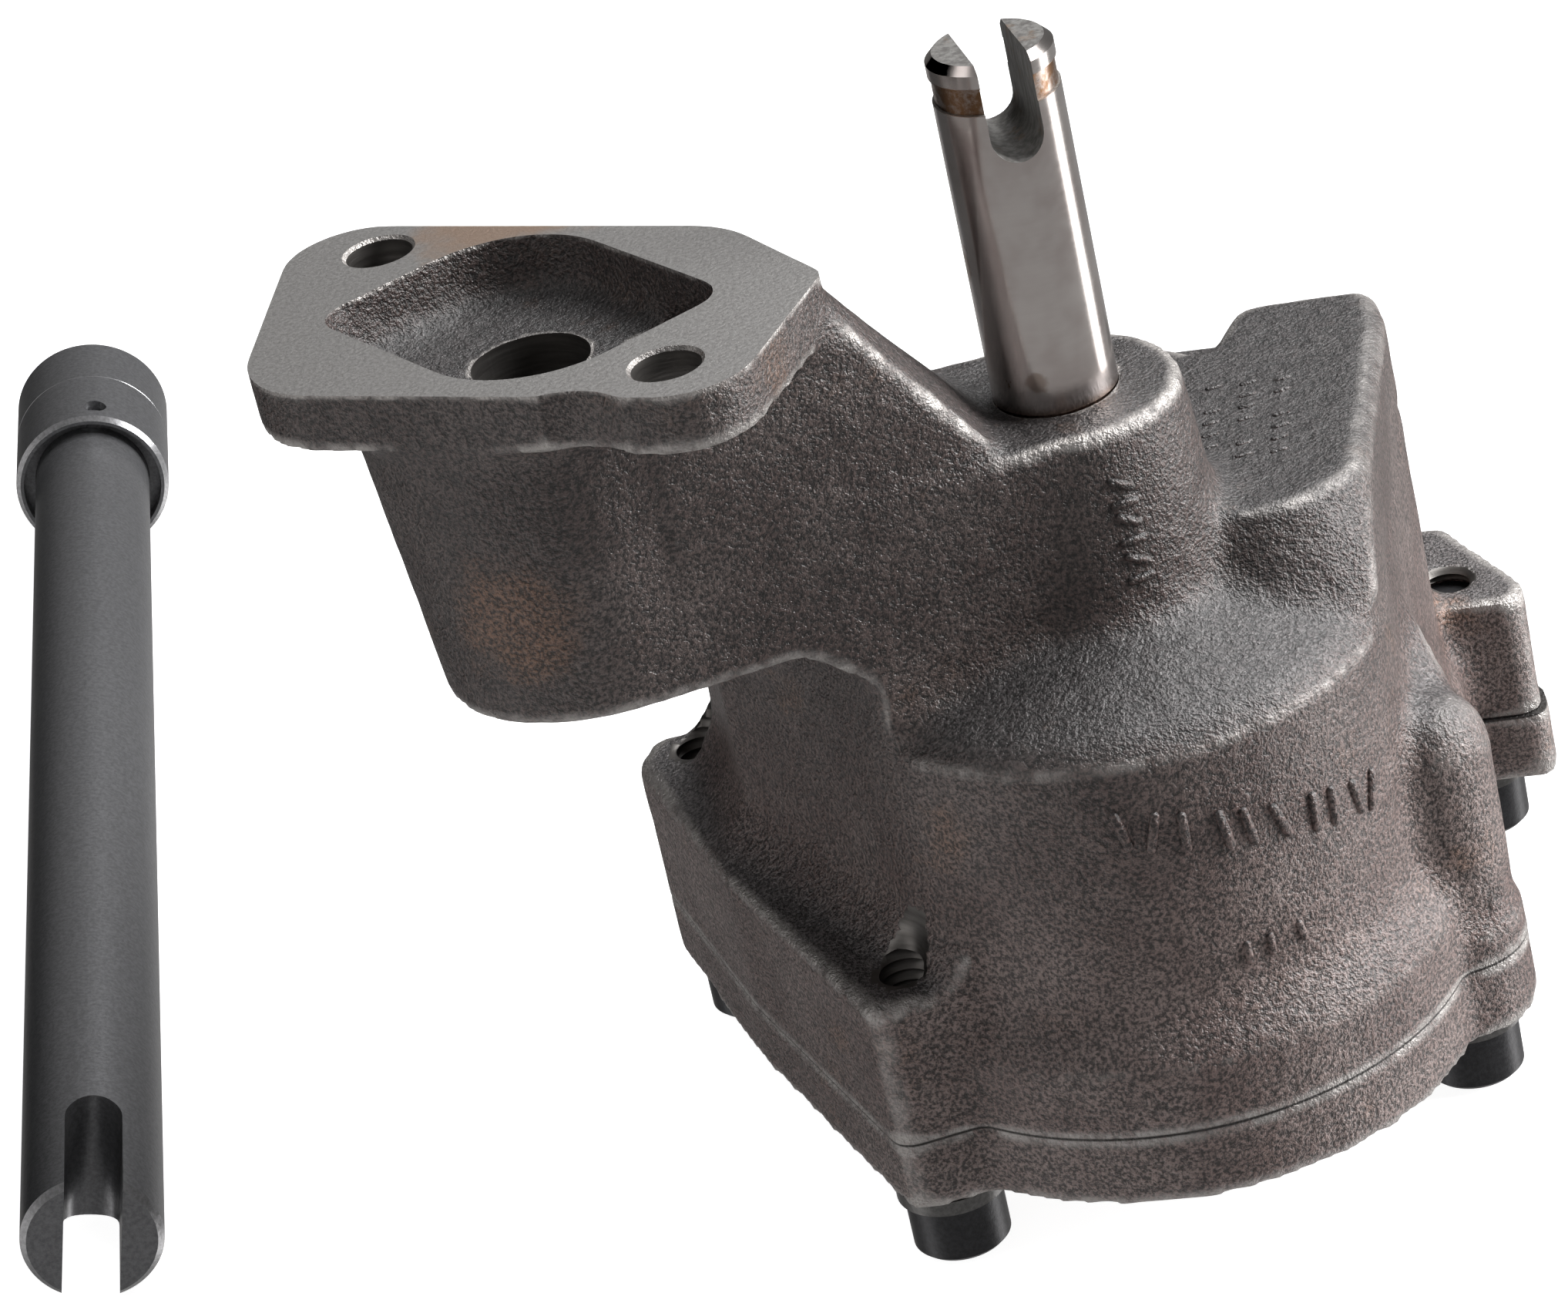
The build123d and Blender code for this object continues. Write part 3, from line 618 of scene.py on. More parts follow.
def cover_drills():
    """Cutters for the machined places of the cover."""
    cutters = [block((-FAR, -FAR, SEAM), (FAR, FAR, SEAM + FAR))]
    for place in BOLT_PLACES:
        cutters.append(drill(CLEARANCE_RADIUS, COVER_BOTTOM - 2 * MM, SEAM + MM, place))
    cutters.append(drill(PICKUP_RADIUS, PICKUP.z - 5 * MM, PICKUP.z + PICKUP_DEPTH, PICKUP))
    centre = (relief_low + relief_high) / 2
    bore = drill(RELIEF_RADIUS, 0, cover_high.y + 5 * MM - relief_low.y, (0, 0))
    start = Matrix.Translation((centre.x, relief_low.y, centre.z))
    bore.transform(start @ Matrix.Rotation(-math.pi / 2, 4, "X"))
    cutters.append(bore)
    return cutters


def grown_copy(node, plugs):
    """CAD node's mesh with metal left on its machined faces, and its bores filled."""
    mesh = welded(nodes[node].data)
    points = read_points(mesh)
    points[points[:, 2] > FLANGE_TOP - ON_FACE, 2] += RAISED
    if node == "pump_body":
        points[points[:, 2] < SEAM + ON_FACE, 2] -= RAISED
    else:
        points[points[:, 2] > SEAM - ON_FACE, 2] += RAISED
    write_points(mesh, points)
    return welded(mesh, plugs)


def away_from(levels, points, reach):
    """Weight that fades to nothing at some levels."""
    weight = np.ones(len(points))
    for level in levels:
        weight = np.minimum(weight, np.clip(np.abs(points[:, 2] - level) / reach, 0, 1))
    return weight


def body_skin():
    """Cast body: notched and softened, then machined."""
    skin = place_object("body_casting", grown_copy("pump_body", body_plugs()))
    low = FLANGE_TOP - 1.5 * FLANGE_THICKNESS
    cut_away(skin, [drill(NOTCH_RADIUS, low, FLANGE_TOP + 2 * MM, NOTCH_PLACE)])
    remesh(skin)
    points = read_points(skin.data)
    weight = away_from((FLANGE_TOP, SEAM), points, BODY_FADE)
    weight[points[:, 2] > FLANGE_TOP] = 0
    weight[points[:, 2] < SEAM] = 0
    soften(skin.data, weight, *BODY_ROUNDS)
    roughen(skin.data, weight, BODY_WAVES)
    cut_away(skin, body_drills())
    return skin


def cover_skin():
    """Cast cover: softened, then machined on its joint face and in its bores."""
    skin = place_object("cover_casting", grown_copy("pump_cover", cover_plugs()))
    remesh(skin)
    points = read_points(skin.data)
    weight = away_from((SEAM,), points, COVER_FADE)
    weight[points[:, 2] > SEAM] = 0
    soften(skin.data, weight, *COVER_ROUNDS)
    roughen(skin.data, weight, COVER_WAVES)
    cut_away(skin, cover_drills())
    return skin


def draw_in_seam(mesh):
    """Breaks the outer edge of a joint face, which leaves a fine line between the castings."""
    points = read_points(mesh)
    on_face = np.abs(points[:, 2] - SEAM) < SEAM_TOLERANCE
    level = read_normals(mesh)
    level[:, 2] = 0
    points[on_face] -= SEAM_BREAK * level[on_face]
    write_points(mesh, points)


def mark_machined(mesh):
    """Gives the flange's face and the walls of the holes their own surfaces."""
    centres = vectors(mesh.polygons, "center")
    normals = vectors(mesh.polygons, "normal")
    kind = np.full(len(centres), CAST, dtype=np.int32)
    kind[centres[:, 2] > FLANGE_TOP - ON_FACE] = MILLED
    for place, radius, low, high in HOLES:
        reach = centres[:, :2] - np.array(place[:2])
        near = np.hypot(reach[:, 0], reach[:, 1]) < radius + ON_FACE
        inward = np.einsum("ij,ij->i", reach, normals[:, :2]) < 0
        kind[near & inward & (centres[:, 2] > low) & (centres[:, 2] < high)] = BORED
    mesh.polygons.foreach_set("material_index", kind)


def finish_skin(skin, node, surfaces):
    """Puts a skin in its node's place, with smooth cast faces and crisp machined ones."""
    mesh = skin.data
    draw_in_seam(mesh)
    dress(mesh, surfaces)
    mark_machined(mesh)
    mesh.shade_smooth()
    mesh.set_sharp_from_angle(angle=SKIN_CREASE)
    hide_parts(node)
    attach(skin, "housing")


# ---------------------------------------------------------------- surfaces of the castings
IRON_DARK, IRON_PALE = (0.074, 0.049, 0.044), (0.112, 0.084, 0.077)
# Painted sheen: the greyer colour that upward faces are blended towards, as if lit from above
PAINTED_TOP_SHEEN = (0.072, 0.065, 0.065)
UPWARD_EDGE = (0.35, 0.95)              # upward part of the normal
GRAIN_SIZE = 0.40 * MM
GRAIN_EDGE = (0.36, 0.66)
GRAIN_SHADES = (0.22, 1.65)             # what the colour is multiplied by
IRON_RUST = (0.150, 0.082, 0.052)
# Painted highlight on convex edges: its pale colour, the Pointiness where it starts and is full,
# and how metallic it makes them
IRON_EDGE_HIGHLIGHT = (0.38, 0.36, 0.345)
HIGHLIGHT_POINTINESS = (0.509, 0.54)             # Pointiness
HIGHLIGHT_METAL = 0.7
IRON_GLINT = 0.7
IRON_ROUGHNESS = (0.52, 0.34)           # in the grain's hollows and on its peaks
SEAM_BLACK = (0.004, 0.003, 0.003)
SEAM_DARKNESS = 0.9
SEAM_LINE = (0.10 * MM, 0.28 * MM)      # half heights of the full line and of its edge
# Painted shade: levels between which the colour goes from brightened (painted light) to darkened
PAINTED_SHADE_RISE = (SEAM + 8 * MM, BOSS_TOP - 8 * MM)
LOWER_PAINTED_LIGHT, UPPER_PAINTED_SHADE = 1.15, 0.50     # what the colour is multiplied by: painted light low down, painted shade high up
RUST_PLACE = (MOUNT.x - 4 * MM, MOUNT.y - 16 * MM, MOUNT.z - 4 * MM)
RUST_COLOUR = (0.21, 0.105, 0.06)
FACE_DARK, FACE_PALE = (0.235, 0.228, 0.222), (0.330, 0.322, 0.315)
FACE_LINES = (0, 0, math.radians(46))   # way that the cutter went
TAN_PLACE = (DOWELS[0].x + 12 * MM, DOWELS[0].y + 4 * MM, FLANGE_TOP)
TAN_COLOUR = (0.330, 0.225, 0.160)
BORE_DARK, BORE_PALE = (0.05, 0.045, 0.042), (0.20, 0.19, 0.18)


def cast_iron(name, wear_and_highlight):
    """Sand-cast iron: brown-black with a fine glinting grain, rusty in places. Painted sheen greys
    its upward faces, painted shade darkens it towards the top and painted light brightens it
    low down; a painted highlight lies on its convex edges, and a dark line at the seam."""
    material, tree, place = piece_material(name)
    geometry = add(tree, "NewGeometry").outputs
    cloud = patches(tree, place, 16 * MM, 4.0, 0.6, edge=(0.35, 0.65))
    colour = blend_colours(tree, cloud, IRON_DARK, IRON_PALE)
    # painted sheen: faces that look upward are blended towards a greyer colour
    top_sheen_mask = between(tree, upright(tree, geometry["Normal"]), *UPWARD_EDGE)
    colour = blend_colours(tree, top_sheen_mask, colour, PAINTED_TOP_SHEEN)
    rust = patches(tree, place, 18 * MM, 5.0, 0.65, edge=(0.58, 0.70), share=(0.0, 0.6))
    colour = blend_colours(tree, rust, colour, IRON_RUST)
    stain = stain_round(tree, place, RUST_PLACE, 4 * MM, 10 * MM, (8 * MM, 14 * MM), 0.85)
    colour = blend_colours(tree, stain, colour, RUST_COLOUR)
    grain = speckle(tree, place, GRAIN_SIZE, 2.0, 0.65)
    colour = scaled(tree, colour, between(tree, grain, *GRAIN_EDGE, *GRAIN_SHADES))
    height = upright(tree, place)
    # painted shade above and painted light below: the colour is scaled by height alone
    colour = scaled(tree, colour, between(tree, height, *PAINTED_SHADE_RISE, LOWER_PAINTED_LIGHT, UPPER_PAINTED_SHADE))
    # painted highlight: convex edges, broken into patches, are blended towards a pale colour and
    # made more metallic; the material's second argument sets its strength
    highlight_patches = patches(tree, place, 3 * MM, 4.0, 0.7, edge=(0.35, 0.6), share=(0.25, 1.0))
    edges = between(tree, geometry["Pointiness"], *HIGHLIGHT_POINTINESS)
    edge_highlight = maths(tree, "MULTIPLY", maths(tree, "MULTIPLY", edges, highlight_patches), wear_and_highlight)
    colour = blend_colours(tree, edge_highlight, colour, IRON_EDGE_HIGHLIGHT)
    gap = maths(tree, "ABSOLUTE", maths(tree, "SUBTRACT", height, SEAM))
    line = between(tree, gap, *SEAM_LINE, SEAM_DARKNESS, 0.0)
    colour = blend_colours(tree, line, colour, SEAM_BLACK)
    normal = bump(tree, speckle(tree, place, 2.2 * MM), 0.34 * MM)
    normal = bump(tree, grain, 0.30 * MM, under=normal)
    roughness = between(tree, grain, 0.3, 0.7, *IRON_ROUGHNESS, smooth=False)
    metallic = maths(tree, "MULTIPLY", edge_highlight, HIGHLIGHT_METAL)
    surface(tree, colour, roughness, metallic, normal, **{"Specular IOR Level": IRON_GLINT})
    return material


def machined_iron():
    """Milled iron: pale grey, finely ground, with a tan stain beside one dowel hole."""
    material, tree, place = piece_material("machined_iron")
    grain = speckle(tree, place, 0.45 * MM, 3.0, 0.7)
    colour = blend_colours(tree, between(tree, grain, 0.3, 0.7), FACE_DARK, FACE_PALE)
    stain = stain_round(tree, place, TAN_PLACE, 5 * MM, 12 * MM, (11 * MM, 17 * MM), 0.75)
    colour = blend_colours(tree, stain, colour, TAN_COLOUR)
    turn = add(tree, "Mapping", {"Vector": place, "Rotation": FACE_LINES}).outputs[0]
    lines = speckle(tree, turn, 0.5 * MM, stretch=(1, 0.05, 1))
    normal = bump(tree, lines, 0.02 * MM)
    normal = bump(tree, grain, 0.05 * MM, under=normal)
    surface(tree, colour, 0.46, 0.75, normal)
    return material


def bored_iron():
    """Drilled and bored walls: darker, with rings from the tool."""
    material, tree, place = piece_material("bored_iron")
    rings = speckle(tree, place, 0.5 * MM, stretch=(0.1, 0.1, 1))
    colour = blend_colours(tree, rings, BORE_DARK, BORE_PALE)
    surface(tree, colour, 0.4, 0.8, bump(tree, rings, 0.05 * MM))
    return material


# ---------------------------------------------------------------- raised marks in the casting
WALL_MARKS = (  # azimuth about the drive shaft, slant, both in degrees
    (-86, 14), (-80, -14), (-74, 0), (-66, 10), (-61, 10),
    (-54, 20), (-46, 0), (-41, 0), (-34, 14), (-29, -14),
)
WALL_SIZE = (4.6 * MM, 1.1 * MM, 0.5 * MM)      # length, width, height
WALL_LEVEL = SEAM + 33.5 * MM                   # of the first mark
WALL_FALL = 0.125 * MM                          # for each degree from the first mark
LOW_MARKS = ((-66, 0), (-61, 0), (-54, 12))
LOW_SIZE = (2.6 * MM, 0.9 * MM, 0.4 * MM)
LOW_LEVEL = SEAM + 16.8 * MM
BOSS_MARKS = (-6.2, -8.2, -10.0, -12.2, -14.2, -16.2)   # levels in mm
BOSS_SLANTS = (60, 90)                          # in turns
BOSS_AZIMUTH = -62
BOSS_SIZE = (3.0 * MM, 1.0 * MM, 0.45 * MM)
PAD_MARKS = [(column, row) for column in range(3) for row in range(7) if (column + 2 * row) % 5]
PAD_CORNER = (12.5 * MM, 9 * MM)
PAD_PITCH = (3.6 * MM, 2.7 * MM)
PAD_SIZE = (1.9 * MM, 0.8 * MM, 0.25 * MM)
PAD_WAY = (1, 0.4, 0)
RAY_START = 60 * MM
BAR_SIDES, BAR_RINGS = 12, 8


def bar(size, hit, normal, along):
    """Rounded bar along a direction, half sunk in the surface that it lies on."""
    length, width, height = size
    points = [(0, 0, -length / 2)]
    for ring in range(1, BAR_RINGS):
        tilt = math.pi * ring / BAR_RINGS
        level = 0
        if 2 * ring != BAR_RINGS:
            level = -width / 2 * math.cos(tilt)
            level += math.copysign((length - width) / 2, level)
        points += ring_points(width / 2 * math.sin(tilt), level, (0, 0), BAR_SIDES)
    last = len(points)
    points.append((0, 0, length / 2))
    faces = wall_faces(BAR_RINGS - 1, BAR_SIDES, 1)
    for index in range(BAR_SIDES):
        after = (index + 1) % BAR_SIDES
        faces.append((0, 1 + after, 1 + index))
        faces.append((last - BAR_SIDES + index, last - BAR_SIDES + after, last))
    mesh = bpy.data.meshes.new("bar")
    mesh.from_pydata(points, [], faces)
    side = along.cross(normal).normalized()
    straight = normal.cross(side)
    turn = Matrix((normal, side, straight)).transposed().to_4x4()
    thin = Matrix.Diagonal((2 * height / width, 1, 1, 1))
    mesh.transform(Matrix.Translation(hit) @ turn @ thin)
    return mesh


def on_wall(tree, azimuth, height, slant, size):
    """Bar on an upright wall round the drive shaft."""
    out = Vector((math.cos(math.radians(azimuth)), math.sin(math.radians(azimuth)), 0))
    hit, normal, _, _ = tree.ray_cast(RAY_START * out + Vector((0, 0, height)), -out)
    along = Matrix.Rotation(math.radians(slant), 3, out) @ Vector((0, 0, 1))
    return bar(size, hit, normal, along)


def cast_marks(body, material):
    """Plain raised bars where such castings carry their founder's marks."""
    tree = BVHTree.FromObject(body, bpy.context.evaluated_depsgraph_get())
    bars = []
    for azimuth, slant in WALL_MARKS:
        height = WALL_LEVEL - WALL_FALL * (azimuth - WALL_MARKS[0][0])
        bars.append(on_wall(tree, azimuth, height, slant, WALL_SIZE))
    for azimuth, slant in LOW_MARKS:
        bars.append(on_wall(tree, azimuth, LOW_LEVEL, slant, LOW_SIZE))
    for index, height in enumerate(BOSS_MARKS):
        bars.append(on_wall(tree, BOSS_AZIMUTH, height * MM, BOSS_SLANTS[index % 2], BOSS_SIZE))
    for column, row in PAD_MARKS:
        x = PAD_CORNER[0] + PAD_PITCH[0] * column
        y = PAD_CORNER[1] + PAD_PITCH[1] * row
        hit, normal, _, _ = tree.ray_cast(Vector((x, y, 0)), Vector((0, 0, -1)))
        bars.append(bar(PAD_SIZE, hit, normal, Vector(PAD_WAY)))
    empty = bpy.data.meshes.new("marks")
    marks = place_object("cast_marks", welded(empty, bars))
    marks.data.materials.append(material)
    marks.data.shade_smooth()
    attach(marks, "housing")


# ---------------------------------------------------------------- steel pieces made here
STEEL_CREASE = math.radians(25)
BEVEL_SLOPES = (0.3, 0.85)      # Z part of a bevel's normal
SLOT_STEPS = 16
SHAFT_CHAMFER = 0.8 * MM
SHAFT_SLOT = (5.3 * MM, 10.3 * MM, math.radians(19.2))      # width, depth, turn
NECK = (SHAFT_TOP - 4.9 * MM, SHAFT_TOP - 2.2 * MM)
NECK_CUT = 0.25 * MM
FOOT_GROOVE = (BOSS_TOP - 0.7 * MM, BOSS_TOP + 0.3 * MM)
LINK_PLACE = (-162.1 * MM, 188.6 * MM)
LINK_HEADING = math.radians(-77.6)
LINK_RADIUS = 7.7 * MM
LINK_LENGTH = 197.8 * MM
LINK_CHAMFER = 0.7 * MM
LINK_SLOT = (6.2 * MM, 17.0 * MM, math.radians(-106))       # width, depth, turn
COLLAR_RADIUS = 10.35 * MM
COLLAR_LENGTH = 24.7 * MM
COLLAR_OVERLAP = 12.0 * MM
COLLAR_CHAMFER = 0.6 * MM
COLLAR_LINE = (11.3 * MM, 0.12 * MM)    # level, depth
COLLAR_RECESS = (9.3 * MM, 2.4 * MM)    # radius, depth
LINK_START = COLLAR_LENGTH - COLLAR_OVERLAP
LINK_END = LINK_START + LINK_LENGTH
PIN_RADIUS = 1.6 * MM
PIN_PLAY = 0.02 * MM
PIN_SUNK = 1.2 * MM
PIN_BEVEL = 0.3 * MM
PIN_LEVEL = COLLAR_LENGTH - 3.7 * MM
PIN_TURN = LINK_SLOT[2] + math.pi / 2
TANG_SIZE = (11.6 * MM, 4.6 * MM, 9.0 * MM)


def slot_cutter(width, bottom, top, reach, turn):
    """Cutter for a round-bottomed slot, open upwards, at a turn about Z."""
    half = width / 2
    outline = [(-half, top)]
    for step in range(SLOT_STEPS + 1):
        angle = math.pi * (1 + step / SLOT_STEPS)
        outline.append((half * math.cos(angle), bottom + half + half * math.sin(angle)))
    outline.append((half, top))
    count = len(outline)
    points = [(x, side * reach, z) for side in (-1, 1) for x, z in outline]
    faces = [tuple(range(count)), tuple(reversed(range(count, 2 * count)))]
    for index in range(count):
        after = (index + 1) % count
        faces.append((after, index, index + count, after + count))
    mesh = bpy.data.meshes.new("slot")
    mesh.from_pydata(points, [], faces)
    mesh.transform(Matrix.Rotation(turn, 4, "Z"))
    return mesh


def on_bevel(slope):
    """Whether a face whose normal has this Z part belongs to a bevel."""
    return BEVEL_SLOPES[0] < slope < BEVEL_SLOPES[1]


def pin_hole(half_length):
    """Cutter for the cross pin's hole."""
    return across(PIN_RADIUS + PIN_PLAY, half_length, PIN_LEVEL, PIN_TURN)


def finish_steel(thing, node, body, surfaces, choose, place=None):
    """Puts a turned piece in its node's place, with a second surface on chosen faces."""
    mesh = thing.data
    dress(mesh, surfaces)
    for face in mesh.polygons:
        face.material_index = int(choose(face))
    if place:
        mesh.transform(place)
    mesh.shade_smooth()
    mesh.set_sharp_from_angle(angle=STEEL_CREASE)
    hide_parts(node)
    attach(thing, body)


def drive_shaft():
    """Drive shaft, with its necked and slotted upper end."""
    radius = SHAFT_RADIUS
    deep = radius - NECK_CUT
    profile = [
        (radius, shaft_low.z),
        (radius, FOOT_GROOVE[0]), (deep, FOOT_GROOVE[0]),
        (deep, FOOT_GROOVE[1]), (radius, FOOT_GROOVE[1]),
        (radius, NECK[0]), (deep, NECK[0]),
        (deep, NECK[1]), (radius, NECK[1]),
        (radius, SHAFT_TOP - SHAFT_CHAMFER), (radius - SHAFT_CHAMFER, SHAFT_TOP),
    ]
    shaft = place_object("slotted_shaft", turned(profile, sides=SHAFT_SIDES))
    width, depth, turn = SHAFT_SLOT
    bottom = SHAFT_TOP - depth
    cut_away(shaft, [slot_cutter(width, bottom, SHAFT_TOP + MM, 2 * radius, turn)])

    def milled(face):
        inside = math.hypot(face.center.x, face.center.y) < radius - 1.5 * SHAFT_CHAMFER
        return face.center.z > bottom - 0.1 * MM and (inside or face.normal.z > 0.9)

    surfaces = (polished_steel(), milled_steel())
    finish_steel(shaft, "drive_shaft", "drive", surfaces, milled)


def link_matrix():
    """Place of the lying intermediate shaft, with Z along it from its collar end."""
    reach = LINK_LENGTH + COLLAR_LENGTH - COLLAR_OVERLAP
    droop = math.asin((COLLAR_RADIUS - LINK_RADIUS) / reach)
    place = Matrix.Translation((*LINK_PLACE, BOLT_HEAD + COLLAR_RADIUS))
    heading = Matrix.Rotation(LINK_HEADING, 4, "Z")
    return place @ heading @ Matrix.Rotation(math.pi / 2 + droop, 4, "Y")


def intermediate_shaft(place, oxide):
    """Long shaft with a tang in the collar and a slot at its far end."""
    radius = LINK_RADIUS
    profile = [
        (radius, LINK_START),
        (radius, LINK_END - LINK_CHAMFER), (radius - LINK_CHAMFER, LINK_END),
    ]
    shaft = place_object("long_shaft", turned(profile, sides=SHAFT_SIDES))
    width, depth, turn = LINK_SLOT
    slot = slot_cutter(width, LINK_END - depth, LINK_END + MM, 2 * radius, turn)
    cut_away(shaft, [slot, pin_hole(2 * radius)])
    half = Vector(TANG_SIZE) / 2
    tang = block((-half.x, -half.y, LINK_START - TANG_SIZE[2]), (half.x, half.y, LINK_START))
    shaft.data = welded(shaft.data, [tang])

    # its end bevel takes the second oxide, a paler copy that is a painted highlight
    def edge(face):
        return on_bevel(face.normal.z) and face.center.z > LINK_END - LINK_CHAMFER

    finish_steel(shaft, "intermediate_shaft", "link", oxide, edge, place)


def coupling_collar(place, oxide):
    """Sleeve over the tang, with a recess round the shaft and a hole for the cross pin."""
    outer = COLLAR_RADIUS
    inner = outer - COLLAR_CHAMFER
    level, line = COLLAR_LINE
    profile = [
        (inner, 0), (outer, COLLAR_CHAMFER),
        (outer, level - line), (outer - line, level), (outer, level + line),
        (outer, COLLAR_LENGTH - COLLAR_CHAMFER), (inner, COLLAR_LENGTH),
    ]
    collar = place_object("collar", turned(profile, sides=SHAFT_SIDES))
    small = SHAFT_RADIUS + SHAFT_PLAY
    bore = LINK_RADIUS + SHAFT_PLAY
    wide, depth = COLLAR_RECESS
    bottom = COLLAR_LENGTH - depth
    hollow = [
        (small, -MM), (small, LINK_START), (bore, LINK_START),
        (bore, bottom), (wide, bottom), (wide, COLLAR_LENGTH + MM),
    ]
    cut_away(collar, [turned(hollow, sides=SHAFT_SIDES), pin_hole(2 * outer)])

    # its bevels take the second oxide, a paler copy that is a painted highlight
    def edge(face):
        return on_bevel(abs(face.normal.z))

    finish_steel(collar, "coupling_collar", "link", oxide, edge, place)


def collar_pin(place, oxide):
    """Cross pin, sunk below the collar's surface."""
    mesh = across(PIN_RADIUS, COLLAR_RADIUS - PIN_SUNK, PIN_LEVEL, PIN_TURN, PIN_BEVEL)
    pin = place_object("cross_pin", mesh)
    finish_steel(pin, "collar_pin", "link", oxide, lambda face: False, place)


# ---------------------------------------------------------------- surfaces of the steel
STEEL_PALE, STEEL_DULL = (0.70, 0.655, 0.63), (0.56, 0.50, 0.48)
NECK_BROWN = (0.20, 0.11, 0.058)
NECK_EDGE = 0.15 * MM
SPOT_COLOUR = (0.24, 0.12, 0.06)
SHAFT_STAINS = (  # azimuth, level, radius, strength
    (math.radians(-98), 3.2 * MM, 1.3 * MM, 0.5),
    (math.radians(-165), 15 * MM, 2.2 * MM, 0.7),
)
SHAFT_RUST = (0.22, 0.12, 0.06)
FOOT_RISE = (-0.4 * MM, 0.9 * MM)
FOOT_BROWN = (0.20, 0.12, 0.08)
FOOT_STRENGTH = 0.8
SHAFT_ROUGHNESS = (0.16, 0.22)
NECK_ROUGHNESS = 0.2            # added to it
MILLED_DARK, MILLED_PALE = (0.12, 0.115, 0.11), (0.25, 0.245, 0.235)
MILLED_STAIN = (0.20, 0.13, 0.08)
OXIDE_WORN = (0.30, 0.28, 0.26)


def polished_steel():
    """Ground shaft: tempered brown on its neck, rusty at its foot and in a few spots."""
    material, tree, place = piece_material("polished_steel")
    height = upright(tree, place)
    cloud = patches(tree, place, 8 * MM, 3.0, 0.6, edge=(0.35, 0.7))
    colour = blend_colours(tree, cloud, STEEL_PALE, STEEL_DULL)
    above = between(tree, height, NECK[0] - NECK_EDGE, NECK[0])
    below = between(tree, height, NECK[1], NECK[1] + NECK_EDGE, 1.0, 0.0)
    mottle = patches(tree, place, 1.6 * MM, 4.0, 0.7, edge=(0.3, 0.6), share=(0.45, 1.0))
    neck = maths(tree, "MULTIPLY", maths(tree, "MULTIPLY", above, below), mottle)
    colour = blend_colours(tree, neck, colour, NECK_BROWN)
    spots = patches(tree, place, 3.0 * MM, 4.0, 0.7, edge=(0.68, 0.73), share=(0.0, 0.8))
    colour = blend_colours(tree, spots, colour, SPOT_COLOUR)
    for azimuth, level, radius, strength in SHAFT_STAINS:
        spot = (SHAFT_RADIUS * math.cos(azimuth), SHAFT_RADIUS * math.sin(azimuth), level)
        edge = (1.1 * radius, 1.5 * radius)
        stain = stain_round(tree, place, spot, 1.5 * MM, radius, edge, strength)
        colour = blend_colours(tree, stain, colour, SHAFT_RUST)
    foot = between(tree, height, *FOOT_RISE, FOOT_STRENGTH, 0.0)
    colour = blend_colours(tree, foot, colour, FOOT_BROWN)
    lines = speckle(tree, place, 0.35 * MM, stretch=(0.15, 0.15, 1))
    roughness = between(tree, lines, 0.2, 0.8, *SHAFT_ROUGHNESS, smooth=False)
    roughness = maths(tree, "ADD", roughness, maths(tree, "MULTIPLY", neck, NECK_ROUGHNESS))
    around = add(tree, "Tangent", direction_type="RADIAL", axis="Z").outputs[0]
    brushed = {"Anisotropic": 0.5, "Anisotropic Rotation": 0.25, "Tangent": around}
    surface(tree, colour, roughness, 1.0, bump(tree, lines, 0.002 * MM), **brushed)
    return material


def milled_steel():
    """Milled faces of a shaft's slot: dull grey, with marks from the cutter."""
    material, tree, place = piece_material("milled_steel")
    lines = speckle(tree, place, 0.6 * MM, 3.0, 0.6, stretch=(1, 1, 0.3))
    colour = blend_colours(tree, between(tree, lines, 0.3, 0.7), MILLED_DARK, MILLED_PALE)
    stain = patches(tree, place, 3 * MM, 4.0, 0.7, edge=(0.55, 0.68), share=(0.0, 0.5))
    colour = blend_colours(tree, stain, colour, MILLED_STAIN)
    surface(tree, colour, 0.5, 0.5, bump(tree, lines, 0.04 * MM))
    return material


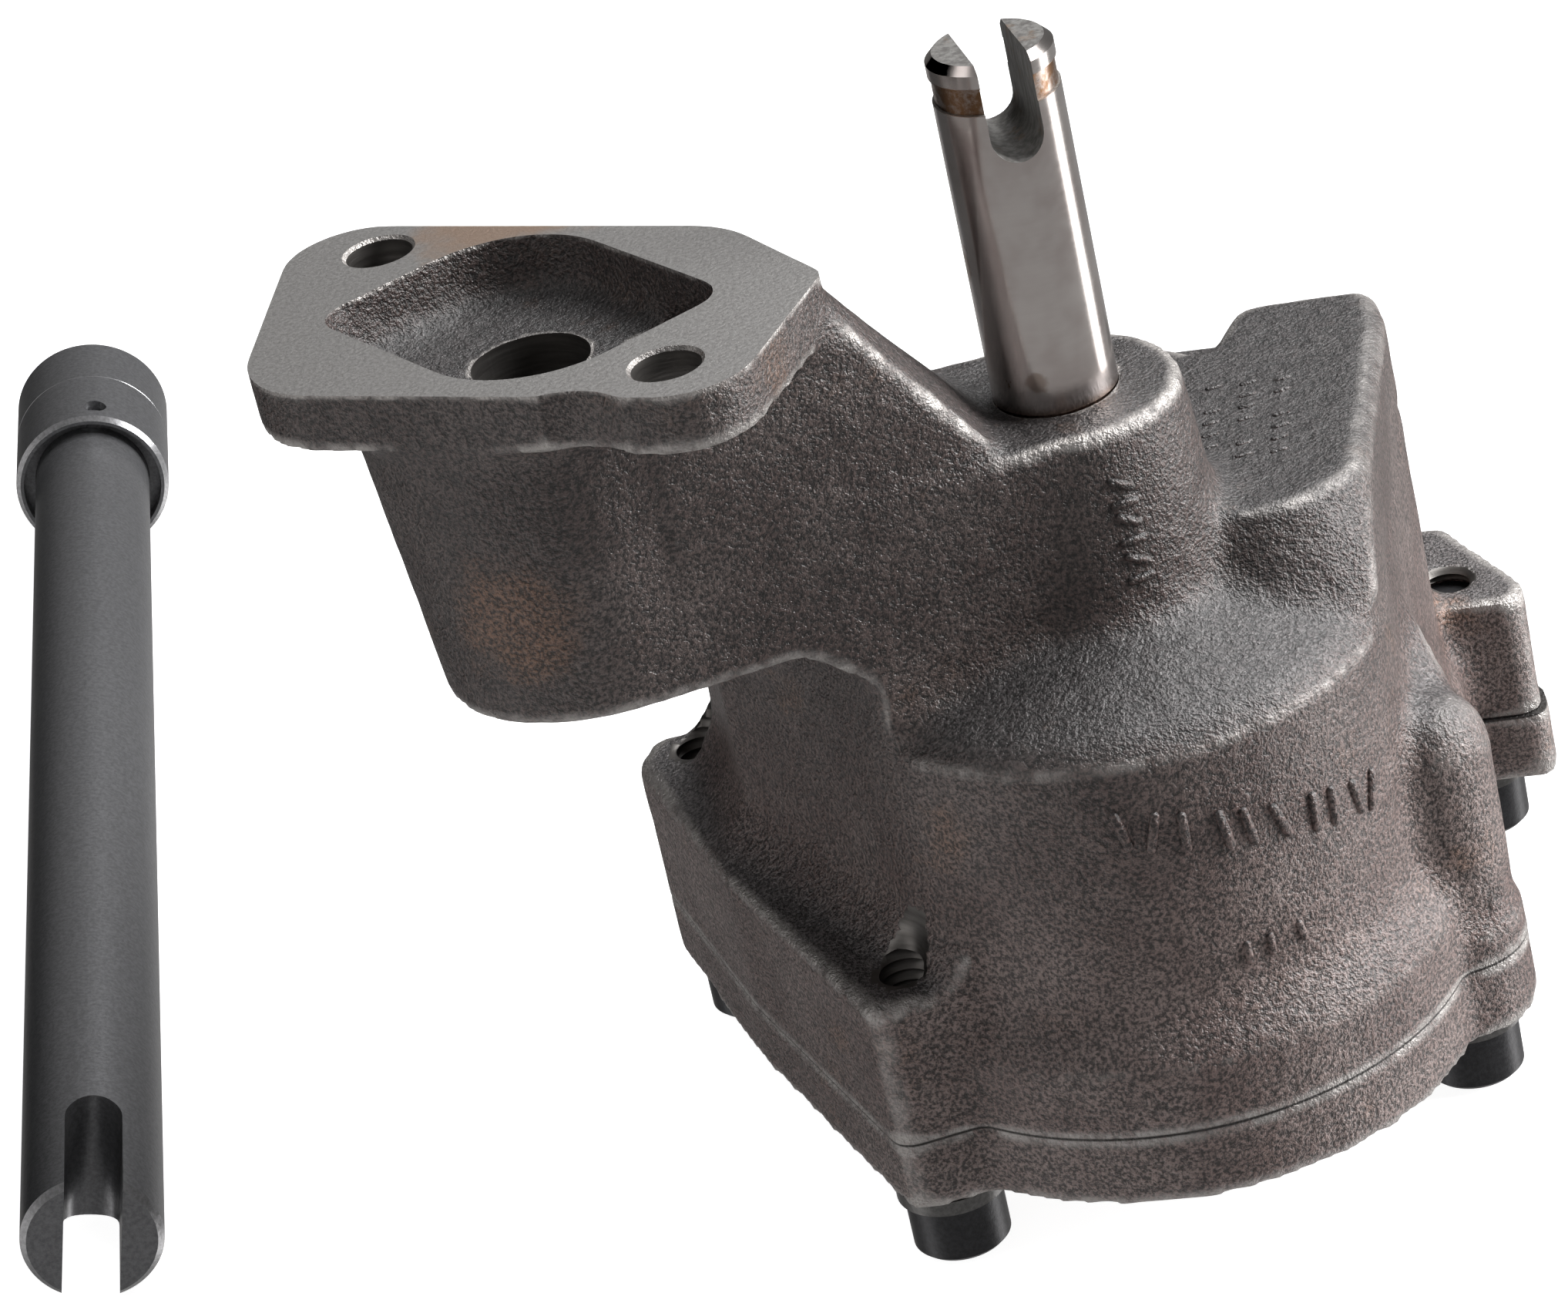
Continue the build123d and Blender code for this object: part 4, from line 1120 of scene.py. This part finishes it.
def black_oxide(name, shade, roughness):
    """Blackened steel with a fine grain, worn in places."""
    material, tree, place = piece_material(name)
    grain = speckle(tree, place, 0.5 * MM, 3.0, 0.7)
    pale = tuple(1.5 * part for part in shade)
    colour = blend_colours(tree, between(tree, grain, 0.3, 0.7), shade, pale)
    wear_and_highlight = patches(tree, place, 4 * MM, 5.0, 0.75, edge=(0.72, 0.78), share=(0.0, 0.5))
    colour = blend_colours(tree, wear_and_highlight, colour, OXIDE_WORN)
    surface(tree, colour, roughness, 0.7, bump(tree, grain, 0.03 * MM))
    return material


def plain_steel(name, shade, roughness):
    """Cut or drawn steel with fine lines."""
    material, tree, place = piece_material(name)
    lines = speckle(tree, place, 0.4 * MM, 3.0, 0.6, stretch=(1, 1, 0.2))
    pale = tuple(1.3 * part for part in shade)
    colour = blend_colours(tree, lines, shade, pale)
    surface(tree, colour, roughness, 0.9, bump(tree, lines, 0.02 * MM))
    return material


def paint(material, *names):
    """Gives CAD nodes a material."""
    for name in names:
        dress(nodes[name].data, (material,))


# ---------------------------------------------------------------- the pump
make_camera()
castings = (cast_iron("cast_iron", 1.0), machined_iron(), bored_iron())
body = body_skin()
finish_skin(body, "pump_body", castings)
cover = cover_skin()
finish_skin(cover, "pump_cover", castings)
cast_marks(body, cast_iron("cast_marks", 0.0))

drive_shaft()
oxide = (
    black_oxide("black_oxide", (0.125, 0.126, 0.131), 0.34),
    # painted highlight: a paler, glossier copy of the oxide for the bevels of the long shaft and
    # collar
    black_oxide("oxide_painted_highlight", (0.19, 0.19, 0.195), 0.28),
)
link_place = link_matrix()
intermediate_shaft(link_place, oxide)
coupling_collar(link_place, oxide)
collar_pin(link_place, oxide)

bolt_black = black_oxide("black_bolt", (0.028, 0.028, 0.030), 0.38)
paint(bolt_black, *[f"cover_bolt_{number}" for number in BOLT_NUMBERS])
washer_steel = black_oxide("washer_steel", (0.09, 0.088, 0.086), 0.36)
paint(washer_steel, *[f"lock_washer_{number}" for number in BOLT_NUMBERS])
gear_steel = plain_steel("gear_steel", (0.34, 0.33, 0.31), 0.32)
paint(gear_steel, "drive_gear", "idler_gear", "idler_shaft")
relief_steel = plain_steel("relief_steel", (0.42, 0.41, 0.39), 0.3)
paint(relief_steel, "relief_piston", "relief_pin", "relief_spring")

# ---------------------------------------------------------------- the room
make_world()
make_floor()
for lamp in LAMPS:
    area_lamp(*lamp)

bpy.context.scene.view_settings.view_transform = "Standard"
